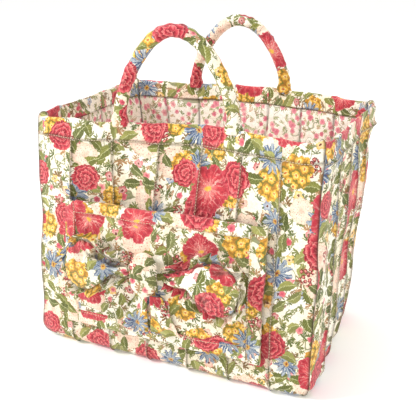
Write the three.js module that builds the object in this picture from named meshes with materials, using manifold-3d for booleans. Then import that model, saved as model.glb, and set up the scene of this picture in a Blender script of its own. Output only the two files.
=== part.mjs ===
// A quilted knitting bag: a soft, open-topped box of printed cotton on wadding, with a cotton lining,
// a patch pocket and a sewn bow on its front, and two stuffed handles that stand up from its rim.
//
// Millimetres, +Z up. The front faces -Y. The origin is the middle of the underside's bounding box.
//
// The cloth pieces are drawn on a plain box, the shape that the bag is cut for, and one function, sag(),
// then moves every point to where it lies in the standing, slightly slumped bag. Pieces that lie on each
// other in the plain box therefore still lie on each other in the real shape.
import * as THREE from 'three';
import { mergeVertices } from 'three/addons/utils/BufferGeometryUtils.js';
import Module from 'manifold-3d';

const wasm = await Module();
wasm.setup();

// ---- Overall sizes ----
const HEIGHT = 288;            // floor to rim
const BASE_WIDTH = 372;        // front edge of the base
const BASE_BACK_WIDTH = 286;   // back edge of the base, which has drawn in
const BASE_DEPTH = 255;
const RIM_WIDTH = 362;
const RIM_DEPTH = 256;
const EDGE_RADIUS = 30;        // the four upright edges
const TUCK_RADIUS = 18;        // the lower edges, where the walls turn under

// ---- How the bag has slumped, as offsets from those rectangles ----
const BASE_SLUMP = { frontLeft: [-5, 9], frontRight: [0, -10], backRight: [0, 0], backLeft: [0, 0] };
const RIM_SLUMP = { frontLeft: [6, 4], frontRight: [4, 13], backRight: [-5, -1], backLeft: [-7, 18] };
const BACK_FLARE = 0.65;       // below 1, the back corners open out soon after leaving the base
const FRONT_DIP = { depth: 32, middle: 0.12, reach: 0.84, climb: 2.5 };
const BACK_BULGE = { depth: 30, middle: 0, reach: 1, climb: 1.5 };

// ---- Cloth thicknesses ----
const CLOTH = 1;
const WADDING = 3;
const LINING = 0.8;
const FIT = 0.3;               // gap between pieces that touch

// ---- Rim ----
const FACING_DROP = 23;        // how far the outer cloth is turned in at the mouth
const TAB = { thickness: 1, room: 2.4, width: 19, height: 20 };

// ---- Base ----
const BOARD = 1.7;             // stiff board on the outer cloth of the base

// ---- Handles ----
const HANDLE_RADIUS = 7.5;
const SLEEVE = 1.2;
const FRONT_HANDLE = { spacing: 136.4, middle: -2.4, rise: 94 };
const BACK_HANDLE = { spacing: 132, middle: -22, rise: 79 };
const ARCH_FULLNESS = 1.5;     // 1 gives half an ellipse and 2 a parabola

// ---- Patch pocket ----
const POCKET = { width: 249, height: 154, middle: -4.5, bottom: 38, puff: 14 };
const BINDING = { width: 15, cloth: 1.2, mouth: 12, behind: 1, room: 0.6 };

// ---- Bow ----
const KNOT = { width: 36, height: 54, depth: 27, middle: -12.5, level: 88 };
const LOOP = { length: 90, end: 7, tall: 37, neck: 13, deep: 13, droop: 6, gap: 1.5 };
const TAIL = { length: 50, top: 14, bottom: 37, thickness: 4, apart: 4, gap: 1.5 };

// ---- Fineness of the curved pieces ----
const EDGE_STEPS = 2;
const WALL_STEPS = 5;
const TUCK_STEPS = 3;
const LONG_SIDE_STEPS = 12;
const SHORT_SIDE_STEPS = 5;
const ARCH_STEPS = 16;
const TUBE_STEPS = 5;          // round half of a tube's section
const TAB_STEPS = 4;
const TAIL_STEPS = 4;
const POCKET_STEPS = 6;
const BALL = [10, 8];          // round and down a ball
const LOOP_BALL = [12, 12];

// ---- Depth of each layer below the outer surface ----
const waddingDepth = CLOTH + FIT;
const liningDepth = waddingDepth + WADDING + FIT;
const tabDepth = liningDepth;
const facingDepth = tabDepth + TAB.room;
const facingLow = HEIGHT - FACING_DROP;

// ---- The slumped shape ----
const halfWidth = BASE_WIDTH / 2;
const halfDepth = BASE_DEPTH / 2;

function corners(frontWidth, backWidth, depth, slump) {
  const at = (x, y, [dx, dy]) => new THREE.Vector2(x + dx, y + dy);
  return {
    frontLeft: at(-frontWidth / 2, -depth / 2, slump.frontLeft),
    frontRight: at(frontWidth / 2, -depth / 2, slump.frontRight),
    backRight: at(backWidth / 2, depth / 2, slump.backRight),
    backLeft: at(-backWidth / 2, depth / 2, slump.backLeft),
  };
}

const baseCorners = corners(BASE_WIDTH, BASE_BACK_WIDTH, BASE_DEPTH, BASE_SLUMP);
const rimCorners = corners(RIM_WIDTH, RIM_WIDTH, RIM_DEPTH, RIM_SLUMP);

function hump(u, { middle, reach }) {
  const from = THREE.MathUtils.clamp((u - middle) / reach, -1, 1);
  return Math.cos(from * Math.PI / 2) ** 2;
}

// Moves a point of the plain box to its place in the slumped bag. Heights stay as they are.
function sag(point) {
  const u = point.x / halfWidth;
  const v = point.y / halfDepth;
  const up = THREE.MathUtils.clamp(point.z / HEIGHT, 0, 1);
  const front = (1 - v) / 2;
  const back = (1 + v) / 2;
  const place = new THREE.Vector2();
  const add = (name, weight, climb) => {
    place.addScaledVector(baseCorners[name].clone().lerp(rimCorners[name], climb), weight);
  };
  add('frontLeft', front * (1 - u) / 2, up);
  add('frontRight', front * (1 + u) / 2, up);
  add('backRight', back * (1 + u) / 2, up ** BACK_FLARE);
  add('backLeft', back * (1 - u) / 2, up ** BACK_FLARE);
  const dip = FRONT_DIP.depth * hump(u, FRONT_DIP) * up ** FRONT_DIP.climb * front;
  const bulge = BACK_BULGE.depth * hump(u, BACK_BULGE) * up ** BACK_BULGE.climb * back;
  return new THREE.Vector3(place.x, place.y + dip + bulge, point.z);
}

// ---- Building tools ----

// A box of columns by rows by one, whose points are then placed one by one. face is 1 on the outer side.
// Its far face is split into triangles along the same diagonals as its near one, so that layers that are
// bent alike stay the same distance apart.
function bentBox(columns, rows, place) {
  const box = new THREE.BoxGeometry(1, 1, 1, columns, rows, 1);
  const far = box.groups[5];
  for (let i = far.start; i < far.start + far.count; i += 6) {
    const [a, b, d, , c] = box.index.array.slice(i, i + 6);
    box.index.array.set([a, b, c, a, c, d], i);
  }
  const position = box.attributes.position;
  for (let i = 0; i < position.count; i += 1) {
    const column = Math.round((position.getX(i) + 0.5) * columns);
    const row = Math.round((position.getY(i) + 0.5) * rows);
    const face = Math.round(position.getZ(i) + 0.5);
    const { x, y, z } = place(column, row, face);
    position.setXYZ(i, x, y, z);
  }
  return box;
}

// Moves every point of a geometry by a function.
function reshape(geometry, place) {
  const position = geometry.attributes.position;
  const point = new THREE.Vector3();
  for (let i = 0; i < position.count; i += 1) {
    const { x, y, z } = place(point.fromBufferAttribute(position, i));
    position.setXYZ(i, x, y, z);
  }
  return geometry;
}

const bag = new THREE.Group();

const FINISHES = {
  print: { color: 0xe9dfc9, roughness: 0.85, metalness: 0 },
  lining: { color: 0xf0e2cf, roughness: 0.88, metalness: 0 },
  wadding: { color: 0xf5f3ee, roughness: 1, metalness: 0 },
  board: { color: 0xa89f8e, roughness: 0.9, metalness: 0 },
  bow: { color: 0xdccab0, roughness: 0.85, metalness: 0 },
};

function addPiece(name, finish, geometry) {
  geometry.deleteAttribute('normal');
  geometry.deleteAttribute('uv');
  const material = new THREE.MeshStandardMaterial(FINISHES[finish]);
  const mesh = new THREE.Mesh(mergeVertices(geometry), material);
  mesh.name = name;
  bag.add(mesh);
}

// ---- Walls ----
// Each side has its own straight direction and its own outward direction, and runs from the middle of one
// upright edge to the middle of the next, anticlockwise seen from above.
const SIDES = {
  front: { along: [1, 0], out: [0, -1], half: halfWidth, reach: halfDepth, steps: LONG_SIDE_STEPS },
  right: { along: [0, 1], out: [1, 0], half: halfDepth, reach: halfWidth, steps: SHORT_SIDE_STEPS },
  back: { along: [-1, 0], out: [0, 1], half: halfWidth, reach: halfDepth, steps: LONG_SIDE_STEPS },
  left: { along: [0, -1], out: [-1, 0], half: halfDepth, reach: halfWidth, steps: SHORT_SIDE_STEPS },
};

const columnsOf = (side) => side.steps + 2 * EDGE_STEPS;

// A point of the plain box's wall, inset from its outer surface, at one of the side's columns.
function wallPoint(side, column, inset, z) {
  const radius = EDGE_RADIUS - inset;
  const straight = side.half - EDGE_RADIUS;
  const seamAngle = Math.PI / 4 - FIT / 2 / radius;
  const intoStart = EDGE_STEPS - column;
  const intoEnd = column - EDGE_STEPS - side.steps;
  const turn = seamAngle * Math.max(intoStart, intoEnd, 0) / EDGE_STEPS;
  const share = THREE.MathUtils.clamp((column - EDGE_STEPS) / side.steps, 0, 1);
  const lean = intoStart > 0 ? -1 : 1;
  const along = straight * (2 * share - 1) + lean * radius * Math.sin(turn);
  const out = side.reach - EDGE_RADIUS + radius * Math.cos(turn);
  const x = side.along[0] * along + side.out[0] * out;
  const y = side.along[1] * along + side.out[1] * out;
  return new THREE.Vector3(x, y, z);
}

// Inset and height of a layer where the wall turns under: share 0 is flat on the base, 1 is upright.
function tuck(depth, share) {
  const angle = share * Math.PI / 2;
  const radius = TUCK_RADIUS - depth;
  return [TUCK_RADIUS - radius * Math.sin(angle), TUCK_RADIUS - radius * Math.cos(angle)];
}

// The rows of a wall layer from the base up: its outer and its inner [inset, height] in each row.
function layerRows(outer, inner, top) {
  const rows = [];
  for (let i = 0; i <= TUCK_STEPS; i += 1) {
    rows.push([tuck(outer, i / TUCK_STEPS), tuck(inner, i / TUCK_STEPS)]);
  }
  for (let i = 1; i <= WALL_STEPS; i += 1) {
    const z = THREE.MathUtils.lerp(TUCK_RADIUS, facingLow - FIT, i / WALL_STEPS);
    rows.push([[outer, z], [inner, z]]);
  }
  if (top > facingLow) rows.push([[outer, top], [inner, top]]);
  return rows;
}

function wallStrip(side, rows) {
  return bentBox(columnsOf(side), rows.length - 1, (column, row, face) => {
    const [inset, z] = rows[row][1 - face];
    return sag(wallPoint(side, column, inset, z));
  });
}

// The turned-in strip: up the inside, then over the top of the wadding to the outer cloth.
function facingRows() {
  const inner = facingDepth + CLOTH;
  return [
    [[facingDepth, facingLow], [inner, facingLow]],
    [[facingDepth, HEIGHT - CLOTH], [inner, HEIGHT]],
    [[waddingDepth, HEIGHT - CLOTH], [waddingDepth, HEIGHT]],
  ];
}

function addWalls() {
  for (const [name, side] of Object.entries(SIDES)) {
    const waddingTop = HEIGHT - CLOTH - FIT;
    addPiece(`outer_${name}`, 'print', wallStrip(side, layerRows(0, CLOTH, HEIGHT)));
    const wadding = layerRows(waddingDepth, waddingDepth + WADDING, waddingTop);
    addPiece(`wadding_${name}`, 'wadding', wallStrip(side, wadding));
    const lining = layerRows(liningDepth, liningDepth + LINING, 0);
    addPiece(`lining_${name}`, 'lining', wallStrip(side, lining));
    addPiece(`facing_${name}`, 'print', wallStrip(side, facingRows()));
  }
}

// ---- Base ----
function baseSlab(bottom, thickness) {
  const outline = new THREE.Shape();
  for (const side of Object.values(SIDES)) {
    for (let column = 0; column <= columnsOf(side); column += 1) {
      const { x, y } = wallPoint(side, column, TUCK_RADIUS + FIT, 0);
      if (outline.curves.length === 0 && outline.currentPoint.length() === 0) outline.moveTo(x, y);
      else outline.lineTo(x, y);
    }
  }
  const slab = new THREE.ExtrudeGeometry(outline, { depth: thickness, bevelEnabled: false });
  slab.translate(0, 0, bottom);
  return reshape(slab, sag);
}

function addBase() {
  const boardBottom = CLOTH + FIT;
  const waddingBottom = boardBottom + BOARD + FIT;
  addPiece('outer_base', 'print', baseSlab(0, CLOTH));
  addPiece('base_board', 'board', baseSlab(boardBottom, BOARD));
  addPiece('wadding_base', 'wadding', baseSlab(waddingBottom, liningDepth - FIT - waddingBottom));
  addPiece('lining_base', 'lining', baseSlab(liningDepth, LINING));
}

// ---- Handles ----
// A handle's two feet stand on the rim, on the line down the middle of the wall's thickness.
function footOf(side, handle, end) {
  const x = handle.middle + end * handle.spacing / 2;
  const y = side.out[1] * (side.reach - (facingDepth + CLOTH) / 2);
  return sag(new THREE.Vector3(x, y, HEIGHT));
}

class Arch extends THREE.Curve {
  constructor(from, to, rise) {
    super();
    this.ends = [from, to];
    this.rise = rise;
  }

  getPoint(share, target = new THREE.Vector3()) {
    const turn = share * Math.PI;
    target.lerpVectors(this.ends[0], this.ends[1], (1 - Math.cos(turn)) / 2);
    target.z += this.rise * Math.sin(turn) ** ARCH_FULLNESS;
    return target;
  }
}

function archOf(side, handle) {
  const level = HEIGHT + FIT + HANDLE_RADIUS;
  const [from, to] = [-1, 1].map((end) => footOf(side, handle, end).setZ(level));
  return new Arch(from, to, handle.rise);
}

// The stretch of a curve between two distances from its ends.
function trimmed(curve, cut) {
  const length = curve.getLength();
  const points = [];
  for (let i = 0; i <= ARCH_STEPS; i += 1) {
    points.push(curve.getPointAt(THREE.MathUtils.lerp(cut, length - cut, i / ARCH_STEPS) / length));
  }
  return new THREE.CatmullRomCurve3(points);
}

function tube(curve, outer, inner) {
  const section = new THREE.Shape().absarc(0, 0, outer, 0, 2 * Math.PI);
  if (inner > 0) section.holes.push(new THREE.Path().absarc(0, 0, inner, 0, 2 * Math.PI));
  const settings = { steps: ARCH_STEPS, curveSegments: TUBE_STEPS, extrudePath: curve };
  return new THREE.ExtrudeGeometry(section, settings);
}

function solidOf(geometry) {
  geometry.deleteAttribute('normal');
  geometry.deleteAttribute('uv');
  const merged = mergeVertices(geometry);
  const vertProperties = new Float32Array(merged.attributes.position.array);
  const triVerts = new Uint32Array(merged.index.array);
  return new wasm.Manifold(new wasm.Mesh({ numProp: 3, vertProperties, triVerts }));
}

function geometryOf(solid) {
  const mesh = solid.getMesh();
  const geometry = new THREE.BufferGeometry();
  geometry.setAttribute('position', new THREE.BufferAttribute(mesh.vertProperties, 3));
  geometry.setIndex(new THREE.BufferAttribute(mesh.triVerts, 1));
  return geometry;
}

// The flats of the sleeve's faceted inside come nearer than its corners, so the filling clears those.
const flatOfTube = Math.cos(Math.PI / (2 * TUBE_STEPS));
const fillingRadius = (HANDLE_RADIUS - SLEEVE) * flatOfTube - FIT;

// The filling: a rope along the arch with a round stuffed foot at each end, on which the handle turns.
function handleCore(arch) {
  let core = solidOf(tube(arch, fillingRadius, 0));
  for (const end of arch.ends) {
    const foot = new THREE.SphereGeometry(HANDLE_RADIUS, ...BALL);
    foot.translate(end.x, end.y, end.z);
    core = core.add(solidOf(foot));
  }
  return geometryOf(core);
}

// The flat end of the sleeve, caught between the wadding and the facing under each foot.
function handleTab(side, handle, end) {
  const middle = handle.middle + end * handle.spacing / 2;
  const top = HEIGHT - CLOTH - FIT;
  return bentBox(TAB_STEPS, 1, (column, row, face) => {
    const across = (column / TAB_STEPS - 0.5) * TAB.width * side.along[0];
    const depth = tabDepth + (TAB.room - TAB.thickness) / 2 + (1 - face) * TAB.thickness;
    const z = top - (1 - row) * TAB.height;
    return sag(new THREE.Vector3(middle + across, side.out[1] * (side.reach - depth), z));
  });
}

function addHandle(name, side, handle) {
  const arch = archOf(side, handle);
  const clearOfFoot = FIT + Math.sqrt(HANDLE_RADIUS ** 2 - ((HANDLE_RADIUS - SLEEVE) * flatOfTube) ** 2);
  const sleeve = tube(trimmed(arch, clearOfFoot), HANDLE_RADIUS, HANDLE_RADIUS - SLEEVE);
  addPiece(`${name}_handle_sleeve`, 'print', sleeve);
  addPiece(`${name}_handle_core`, 'wadding', handleCore(arch));
  addPiece(`${name}_handle_tab_left`, 'print', handleTab(side, handle, -1));
  addPiece(`${name}_handle_tab_right`, 'print', handleTab(side, handle, 1));
}

// ---- Patch pocket ----
// across and up are measured from the middle of the pocket's lower edge, and off from the wall's surface.
const pocketHalf = POCKET.width / 2;

function puffAt(across, up) {
  const u = THREE.MathUtils.clamp(across / pocketHalf, -1, 1);
  const w = THREE.MathUtils.clamp(up / POCKET.height, 0, 1);
  return POCKET.puff * (1 - u ** 4) * (1 - (1 - w) ** 2);
}

// How far the front's outer surface stands from the middle of the plain box, rounded edges included.
function frontAt(x) {
  const past = Math.max(Math.abs(x) - (halfWidth - EDGE_RADIUS), 0);
  return halfDepth - EDGE_RADIUS + Math.sqrt(EDGE_RADIUS ** 2 - past ** 2);
}

function pocketPoint(across, up, off) {
  const x = POCKET.middle + across;
  const y = -(frontAt(x) + puffAt(across, up) + off);
  return sag(new THREE.Vector3(x, y, POCKET.bottom + up));
}

const pocketOff = BINDING.room + BINDING.behind + BINDING.room;
const panelOff = pocketOff + LINING + FIT;
const bindingOff = panelOff + CLOTH + BINDING.room;
const pocketFace = bindingOff + BINDING.cloth;
const bindingEdge = pocketHalf - BINDING.width;
const panelColumns = [];
for (let i = 0; i <= POCKET_STEPS; i += 1) panelColumns.push(bindingEdge * (2 * i / POCKET_STEPS - 1));
const pocketColumns = [-pocketHalf, ...panelColumns, pocketHalf];
const pocketRows = [0, BINDING.width, POCKET.height / 2, POCKET.height - BINDING.mouth, POCKET.height];

function pocketCloth(off, thickness) {
  return bentBox(pocketColumns.length - 1, pocketRows.length - 1, (column, row, face) => {
    return pocketPoint(pocketColumns[column], pocketRows[row], off + face * thickness);
  });
}

// A strip that runs across the pocket between the two side strips, from its outer and inner [off, up].
function bindingBetween(rows) {
  const reach = 1 - FIT / bindingEdge;
  return bentBox(POCKET_STEPS, rows.length - 1, (column, row, face) => {
    const [off, up] = rows[row][1 - face];
    return pocketPoint(panelColumns[column] * reach, up, off);
  });
}

// The folded strip on the mouth: up the front of the pocket, over its edge and down behind it.
function mouthBinding() {
  const low = POCKET.height - BINDING.mouth;
  const over = POCKET.height + BINDING.room;
  const behind = pocketOff - BINDING.room;
  const rows = [
    [[pocketFace, low], [bindingOff, low]],
    [[pocketFace, over + BINDING.cloth], [bindingOff, over]],
    [[behind - BINDING.behind, over + BINDING.cloth], [behind, over]],
    [[behind - BINDING.behind, low], [behind, low]],
  ];
  return bindingBetween(rows);
}

// A strip over one side edge of the pocket: from the wall, round the edge and onto the panel.
function sideBinding(hand) {
  const edge = pocketHalf + BINDING.room;
  const steps = [
    [[edge + BINDING.cloth, BINDING.room], [edge, BINDING.room]],
    [[edge + BINDING.cloth, pocketFace], [edge, bindingOff]],
    [[bindingEdge, pocketFace], [bindingEdge, bindingOff]],
  ];
  const beyond = BINDING.room + BINDING.cloth;
  const rows = [-beyond, ...pocketRows.slice(1, -1), POCKET.height + beyond];
  return bentBox(2, rows.length - 1, (column, row, face) => {
    const step = hand < 0 ? column : 2 - column;
    const [across, off] = steps[step][1 - face];
    return pocketPoint(hand * across, rows[row], off);
  });
}

// The strip along the lower edge, between the two side strips.
function lowerBinding() {
  const rows = [
    [[BINDING.room, -BINDING.room - BINDING.cloth], [BINDING.room, -BINDING.room]],
    [[pocketFace, -BINDING.room - BINDING.cloth], [bindingOff, -BINDING.room]],
    [[pocketFace, BINDING.width], [bindingOff, BINDING.width]],
  ];
  return bindingBetween(rows);
}

function addPocket() {
  addPiece('pocket_lining', 'lining', pocketCloth(pocketOff, LINING));
  addPiece('pocket_panel', 'print', pocketCloth(panelOff, CLOTH));
  addPiece('pocket_top_binding', 'print', mouthBinding());
  addPiece('pocket_bottom_binding', 'print', lowerBinding());
  addPiece('pocket_left_binding', 'print', sideBinding(-1));
  addPiece('pocket_right_binding', 'print', sideBinding(1));
}

// ---- Bow ----
const bowOff = pocketFace + FIT;
const bowAcross = KNOT.middle - POCKET.middle;
const loopStart = KNOT.width / 2 + LOOP.gap + LOOP.end;
const tailTop = KNOT.level - KNOT.height / 2 - TAIL.gap;

function bowKnot() {
  const ball = new THREE.SphereGeometry(1, ...BALL);
  ball.rotateX(Math.PI / 2);
  return reshape(ball, (p) => {
    const off = bowOff + KNOT.depth / 2 * (1 - p.y);
    return pocketPoint(bowAcross + p.x * KNOT.width / 2, KNOT.level + p.z * KNOT.height / 2, off);
  });
}

// A puffed loop: narrow at the knot, tallest beyond its middle, and drooping a little at its end.
function bowLoop(hand) {
  const ball = new THREE.SphereGeometry(1, ...LOOP_BALL);
  ball.rotateZ(-Math.PI / 2);
  return reshape(ball, (p) => {
    const share = (hand * p.x + 1) / 2;
    const round = Math.sqrt(Math.max(1 - p.x ** 2, 0));
    const along = share * (LOOP.length + LOOP.end) - LOOP.end;
    const full = THREE.MathUtils.smoothstep(share, 0.25, 0.8);
    const tall = THREE.MathUtils.lerp(LOOP.neck, LOOP.tall, full);
    const deep = THREE.MathUtils.lerp(LOOP.end, LOOP.deep, THREE.MathUtils.smoothstep(share, 0, 0.6));
    const blunt = round > 0 ? Math.min(1, round ** 0.6) / round : 0;
    const up = KNOT.level + p.z * blunt * tall - LOOP.droop * share ** 2;
    const off = bowOff + deep * (1 - p.y * blunt);
    return pocketPoint(bowAcross + hand * (loopStart + along), up, off);
  });
}

function bowTail(hand) {
  const inner = TAIL.apart / 2;
  return bentBox(1, TAIL_STEPS, (column, row, face) => {
    const share = 1 - row / TAIL_STEPS;
    const down = share * TAIL.length;
    const wide = THREE.MathUtils.lerp(TAIL.top, TAIL.bottom, share);
    const outward = hand < 0 ? 1 - column : column;
    const across = bowAcross + hand * (inner + outward * wide);
    return pocketPoint(across, tailTop - down, bowOff + face * TAIL.thickness);
  });
}

function addBow() {
  addPiece('bow_knot', 'bow', bowKnot());
  addPiece('bow_left_loop', 'bow', bowLoop(-1));
  addPiece('bow_right_loop', 'bow', bowLoop(1));
  addPiece('bow_left_tail', 'bow', bowTail(-1));
  addPiece('bow_right_tail', 'bow', bowTail(1));
}

addWalls();
addBase();
addHandle('front', SIDES.front, FRONT_HANDLE);
addHandle('back', SIDES.back, BACK_HANDLE);
addPocket();
addBow();

// ---- Origin: the middle of the underside's bounding box ----
const bounds = new THREE.Box3().setFromObject(bag);
const middle = bounds.getCenter(new THREE.Vector3());
bag.position.set(-middle.x, -middle.y, -bounds.min.z);

export default bag;
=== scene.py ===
# %% [markdown]
# # A quilted knitting bag
#
# The bag is a soft, open box: printed cotton on the outside, a thin wadding, and a cream lining, all
# quilted together. Two stuffed cloth handles stand up from the rim, and a bound patch pocket with a sewn
# bow sits low on the front. The frame gives the sizes and the joints, and these cells give the cloth.

# %% Load the frame
import math
import bpy
import numpy as np
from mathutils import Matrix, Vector


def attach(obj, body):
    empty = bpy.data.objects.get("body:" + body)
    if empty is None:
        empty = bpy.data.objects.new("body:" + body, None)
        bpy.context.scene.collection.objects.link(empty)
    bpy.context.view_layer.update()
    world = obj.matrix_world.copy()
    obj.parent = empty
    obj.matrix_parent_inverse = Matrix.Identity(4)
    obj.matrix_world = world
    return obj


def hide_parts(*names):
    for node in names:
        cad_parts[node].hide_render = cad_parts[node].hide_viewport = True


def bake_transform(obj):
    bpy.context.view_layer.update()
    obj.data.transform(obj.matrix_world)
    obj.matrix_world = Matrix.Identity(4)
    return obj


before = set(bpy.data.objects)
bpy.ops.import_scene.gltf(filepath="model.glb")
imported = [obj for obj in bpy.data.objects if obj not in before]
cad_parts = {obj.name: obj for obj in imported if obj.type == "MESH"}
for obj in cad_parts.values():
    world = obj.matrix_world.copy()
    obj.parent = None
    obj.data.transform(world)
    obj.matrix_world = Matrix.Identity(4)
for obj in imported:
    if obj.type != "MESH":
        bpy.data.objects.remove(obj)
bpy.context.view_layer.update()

# %% [markdown]
# ## The camera and the light
#
# The bag is seen from its right front corner, a little from above, with a short telephoto lens, so its
# upright edges stay nearly parallel. The light is that of a white studio: a big soft key lamp high on the
# left, a weaker one on the right so that the side wall keeps its colour, and a pale room all round. Large
# lamps are used because cloth looks like card under small hard ones.

# %% Camera
EYE = (0.4309, -0.93465, 0.5001)
EYE_TURN = math.radians(24.86)
EYE_TILT = math.radians(18.29)

scene = bpy.context.scene
camera = bpy.data.objects.new("camera", bpy.data.cameras.new("camera"))
camera.location = EYE
camera.rotation_euler = (math.pi / 2 - EYE_TILT, 0, EYE_TURN)
camera.data.sensor_width = 36
camera.data.lens = 75.05
scene.collection.objects.link(camera)
bpy.context.scene.camera = camera

# %% Colours, nodes and materials
MATH = "ShaderNodeMath"
VECTOR = "ShaderNodeVectorMath"
RANGE = "ShaderNodeMapRange"
NOISE = "ShaderNodeTexNoise"
MIX = "ShaderNodeMix"
RAMP = "ShaderNodeValToRGB"
GROUP = "ShaderNodeGroup"
SOFT = "SMOOTHSTEP"


def to_linear(code):
    """An sRGB hex colour as linear red, green, blue and alpha."""
    parts = [int(code[i:i + 2], 16) / 255 for i in (0, 2, 4)]
    return [p / 12.92 if p <= 0.04045 else ((p + 0.055) / 1.055) ** 2.4 for p in parts] + [1.0]


def add(tree, kind, inputs=(), **settings):
    """Adds a node. inputs gives its sockets, by order or by name, each a value, a socket or a node."""
    made = tree.nodes.new(kind)
    for name, value in settings.items():
        setattr(made, name, value)
    for socket, value in inputs.items() if isinstance(inputs, dict) else enumerate(inputs):
        if isinstance(value, bpy.types.Node):
            value = next(o for o in value.outputs if o.enabled)
        if isinstance(value, bpy.types.NodeSocket):
            tree.links.new(value, made.inputs[socket])
        else:
            made.inputs[socket].default_value = value
    return made


def new_material(name, finish):
    """A material, its node tree and its shader. finish is what is the same all over its surface."""
    material = bpy.data.materials.new(name)
    material.use_nodes = True
    shader = material.node_tree.nodes["Principled BSDF"]
    for label, value in finish.items():
        shader.inputs[label].default_value = value
    return material, material.node_tree, shader


# %% Studio
BAG_MIDDLE = Vector((0, 0, 0.15))
FLOOR_REACH = 6.0


def lamp(name, place, size, watts):
    """A square lamp that faces the middle of the bag."""
    light = bpy.data.lights.new(name, "AREA")
    light.energy = watts
    light.size = size
    holder = bpy.data.objects.new(name, light)
    holder.location = place
    holder.rotation_euler = (BAG_MIDDLE - Vector(place)).to_track_quat("-Z", "Y").to_euler()
    scene.collection.objects.link(holder)


lamp("key_lamp", (-1.6, -1.1, 1.7), 0.6, 50)
lamp("fill_lamp", (1.9, -0.9, 0.9), 1.2, 7)
lamp("top_lamp", (0.2, 0.6, 2.0), 1.2, 12)

scene.view_settings.view_transform = "Standard"
scene.view_settings.exposure = -0.35
scene.world = bpy.data.worlds.new("pale_room")
scene.world.use_nodes = True
room_light = scene.world.node_tree.nodes["Background"]
room_light.inputs["Color"].default_value = to_linear("FFFFFF")
room_light.inputs["Strength"].default_value = 1.15

# Backdrop paper is matt. It glows a little, so that it stays white far from the lamps.
paper, _, _ = new_material("white_backdrop_paper", {
    "Base Color": to_linear("F8F7F5"), "Roughness": 0.9,
    "Emission Color": to_linear("FFFFFF"), "Emission Strength": 0.18})
floor_mesh = bpy.data.meshes.new("floor")
floor_corners = [(x * FLOOR_REACH, y * FLOOR_REACH, 0) for x, y in ((-1, -1), (1, -1), (1, 1), (-1, 1))]
floor_mesh.from_pydata(floor_corners, [], [(0, 1, 2, 3)])
floor_mesh.materials.append(paper)
floor = bpy.data.objects.new("floor", floor_mesh)
scene.collection.objects.link(floor)

# %% [markdown]
# ## The print, motif by motif
#
# The cloth is a quilting cotton with a dense garden-flower print: coral poppies and crimson roses as big
# as a hand's palm, yellow clusters, blue daisies, pale pompoms, olive leaves, and small sprigs that fill
# the ivory ground between them. A real print is drawn once and repeated by screens. Here each kind of
# flower is a small node group that is told only where it is within its own flower. A scatter group cuts
# the cloth into loose cells, and gives each cell a turn and a random number of its own. Laying many such
# sheets over each other, small flowers first, gives a print that never tiles and stays sharp close up.
# All sizes are millimetres on the cloth, because the cloth's UV map is in metres and is scaled by 1000.

# %% Scatter and petals
def new_group(name, takes, gives):
    """An empty shader group and its inputs. takes and gives name its sockets, each with its kind."""
    tree = bpy.data.node_groups.new(name, "ShaderNodeTree")
    for way, sockets in (("INPUT", takes), ("OUTPUT", gives)):
        for label, kind in sockets.items():
            tree.interface.new_socket(label, in_out=way, socket_type="NodeSocket" + kind)
    return tree, add(tree, "NodeGroupInput").outputs


def scatter_group():
    """Cells on the cloth, each with coordinates and random numbers of its own."""
    tree, have = new_group(
        "scatter", {"Place": "Vector", "Cell": "Float", "Turn": "Float", "Shown": "Float"},
        {"Local": "Vector", "Pick": "Float", "Pick 2": "Float", "Shown": "Float"})
    turned = add(tree, "ShaderNodeVectorRotate", {"Vector": have["Place"], "Angle": have["Turn"]},
                 rotation_type="Z_AXIS")
    scale = add(tree, MATH, [1.0, have["Cell"]], operation="DIVIDE")
    cells = add(tree, VECTOR, {0: turned, "Scale": scale}, operation="SCALE")
    spots = add(tree, "ShaderNodeTexVoronoi", {"Vector": cells, "Scale": 1.0, "Randomness": 0.42},
                voronoi_dimensions="2D").outputs
    away = add(tree, VECTOR, [cells, spots["Position"]], operation="SUBTRACT")
    sized = add(tree, VECTOR, {0: away, "Scale": have["Cell"]}, operation="SCALE")
    random = add(tree, "ShaderNodeSeparateColor", [spots["Color"]]).outputs
    angle = add(tree, MATH, [random[0], 2 * math.pi], operation="MULTIPLY")
    local = add(tree, "ShaderNodeVectorRotate", {"Vector": sized, "Angle": angle}, rotation_type="Z_AXIS")
    shown = add(tree, MATH, [random[1], have["Shown"]], operation="LESS_THAN")
    second = add(tree, "ShaderNodeTexWhiteNoise", {"Vector": spots["Position"]}, noise_dimensions="2D")
    add(tree, "NodeGroupOutput", {"Local": local, "Pick": random[2], "Pick 2": second, "Shown": shown})
    return tree


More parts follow.
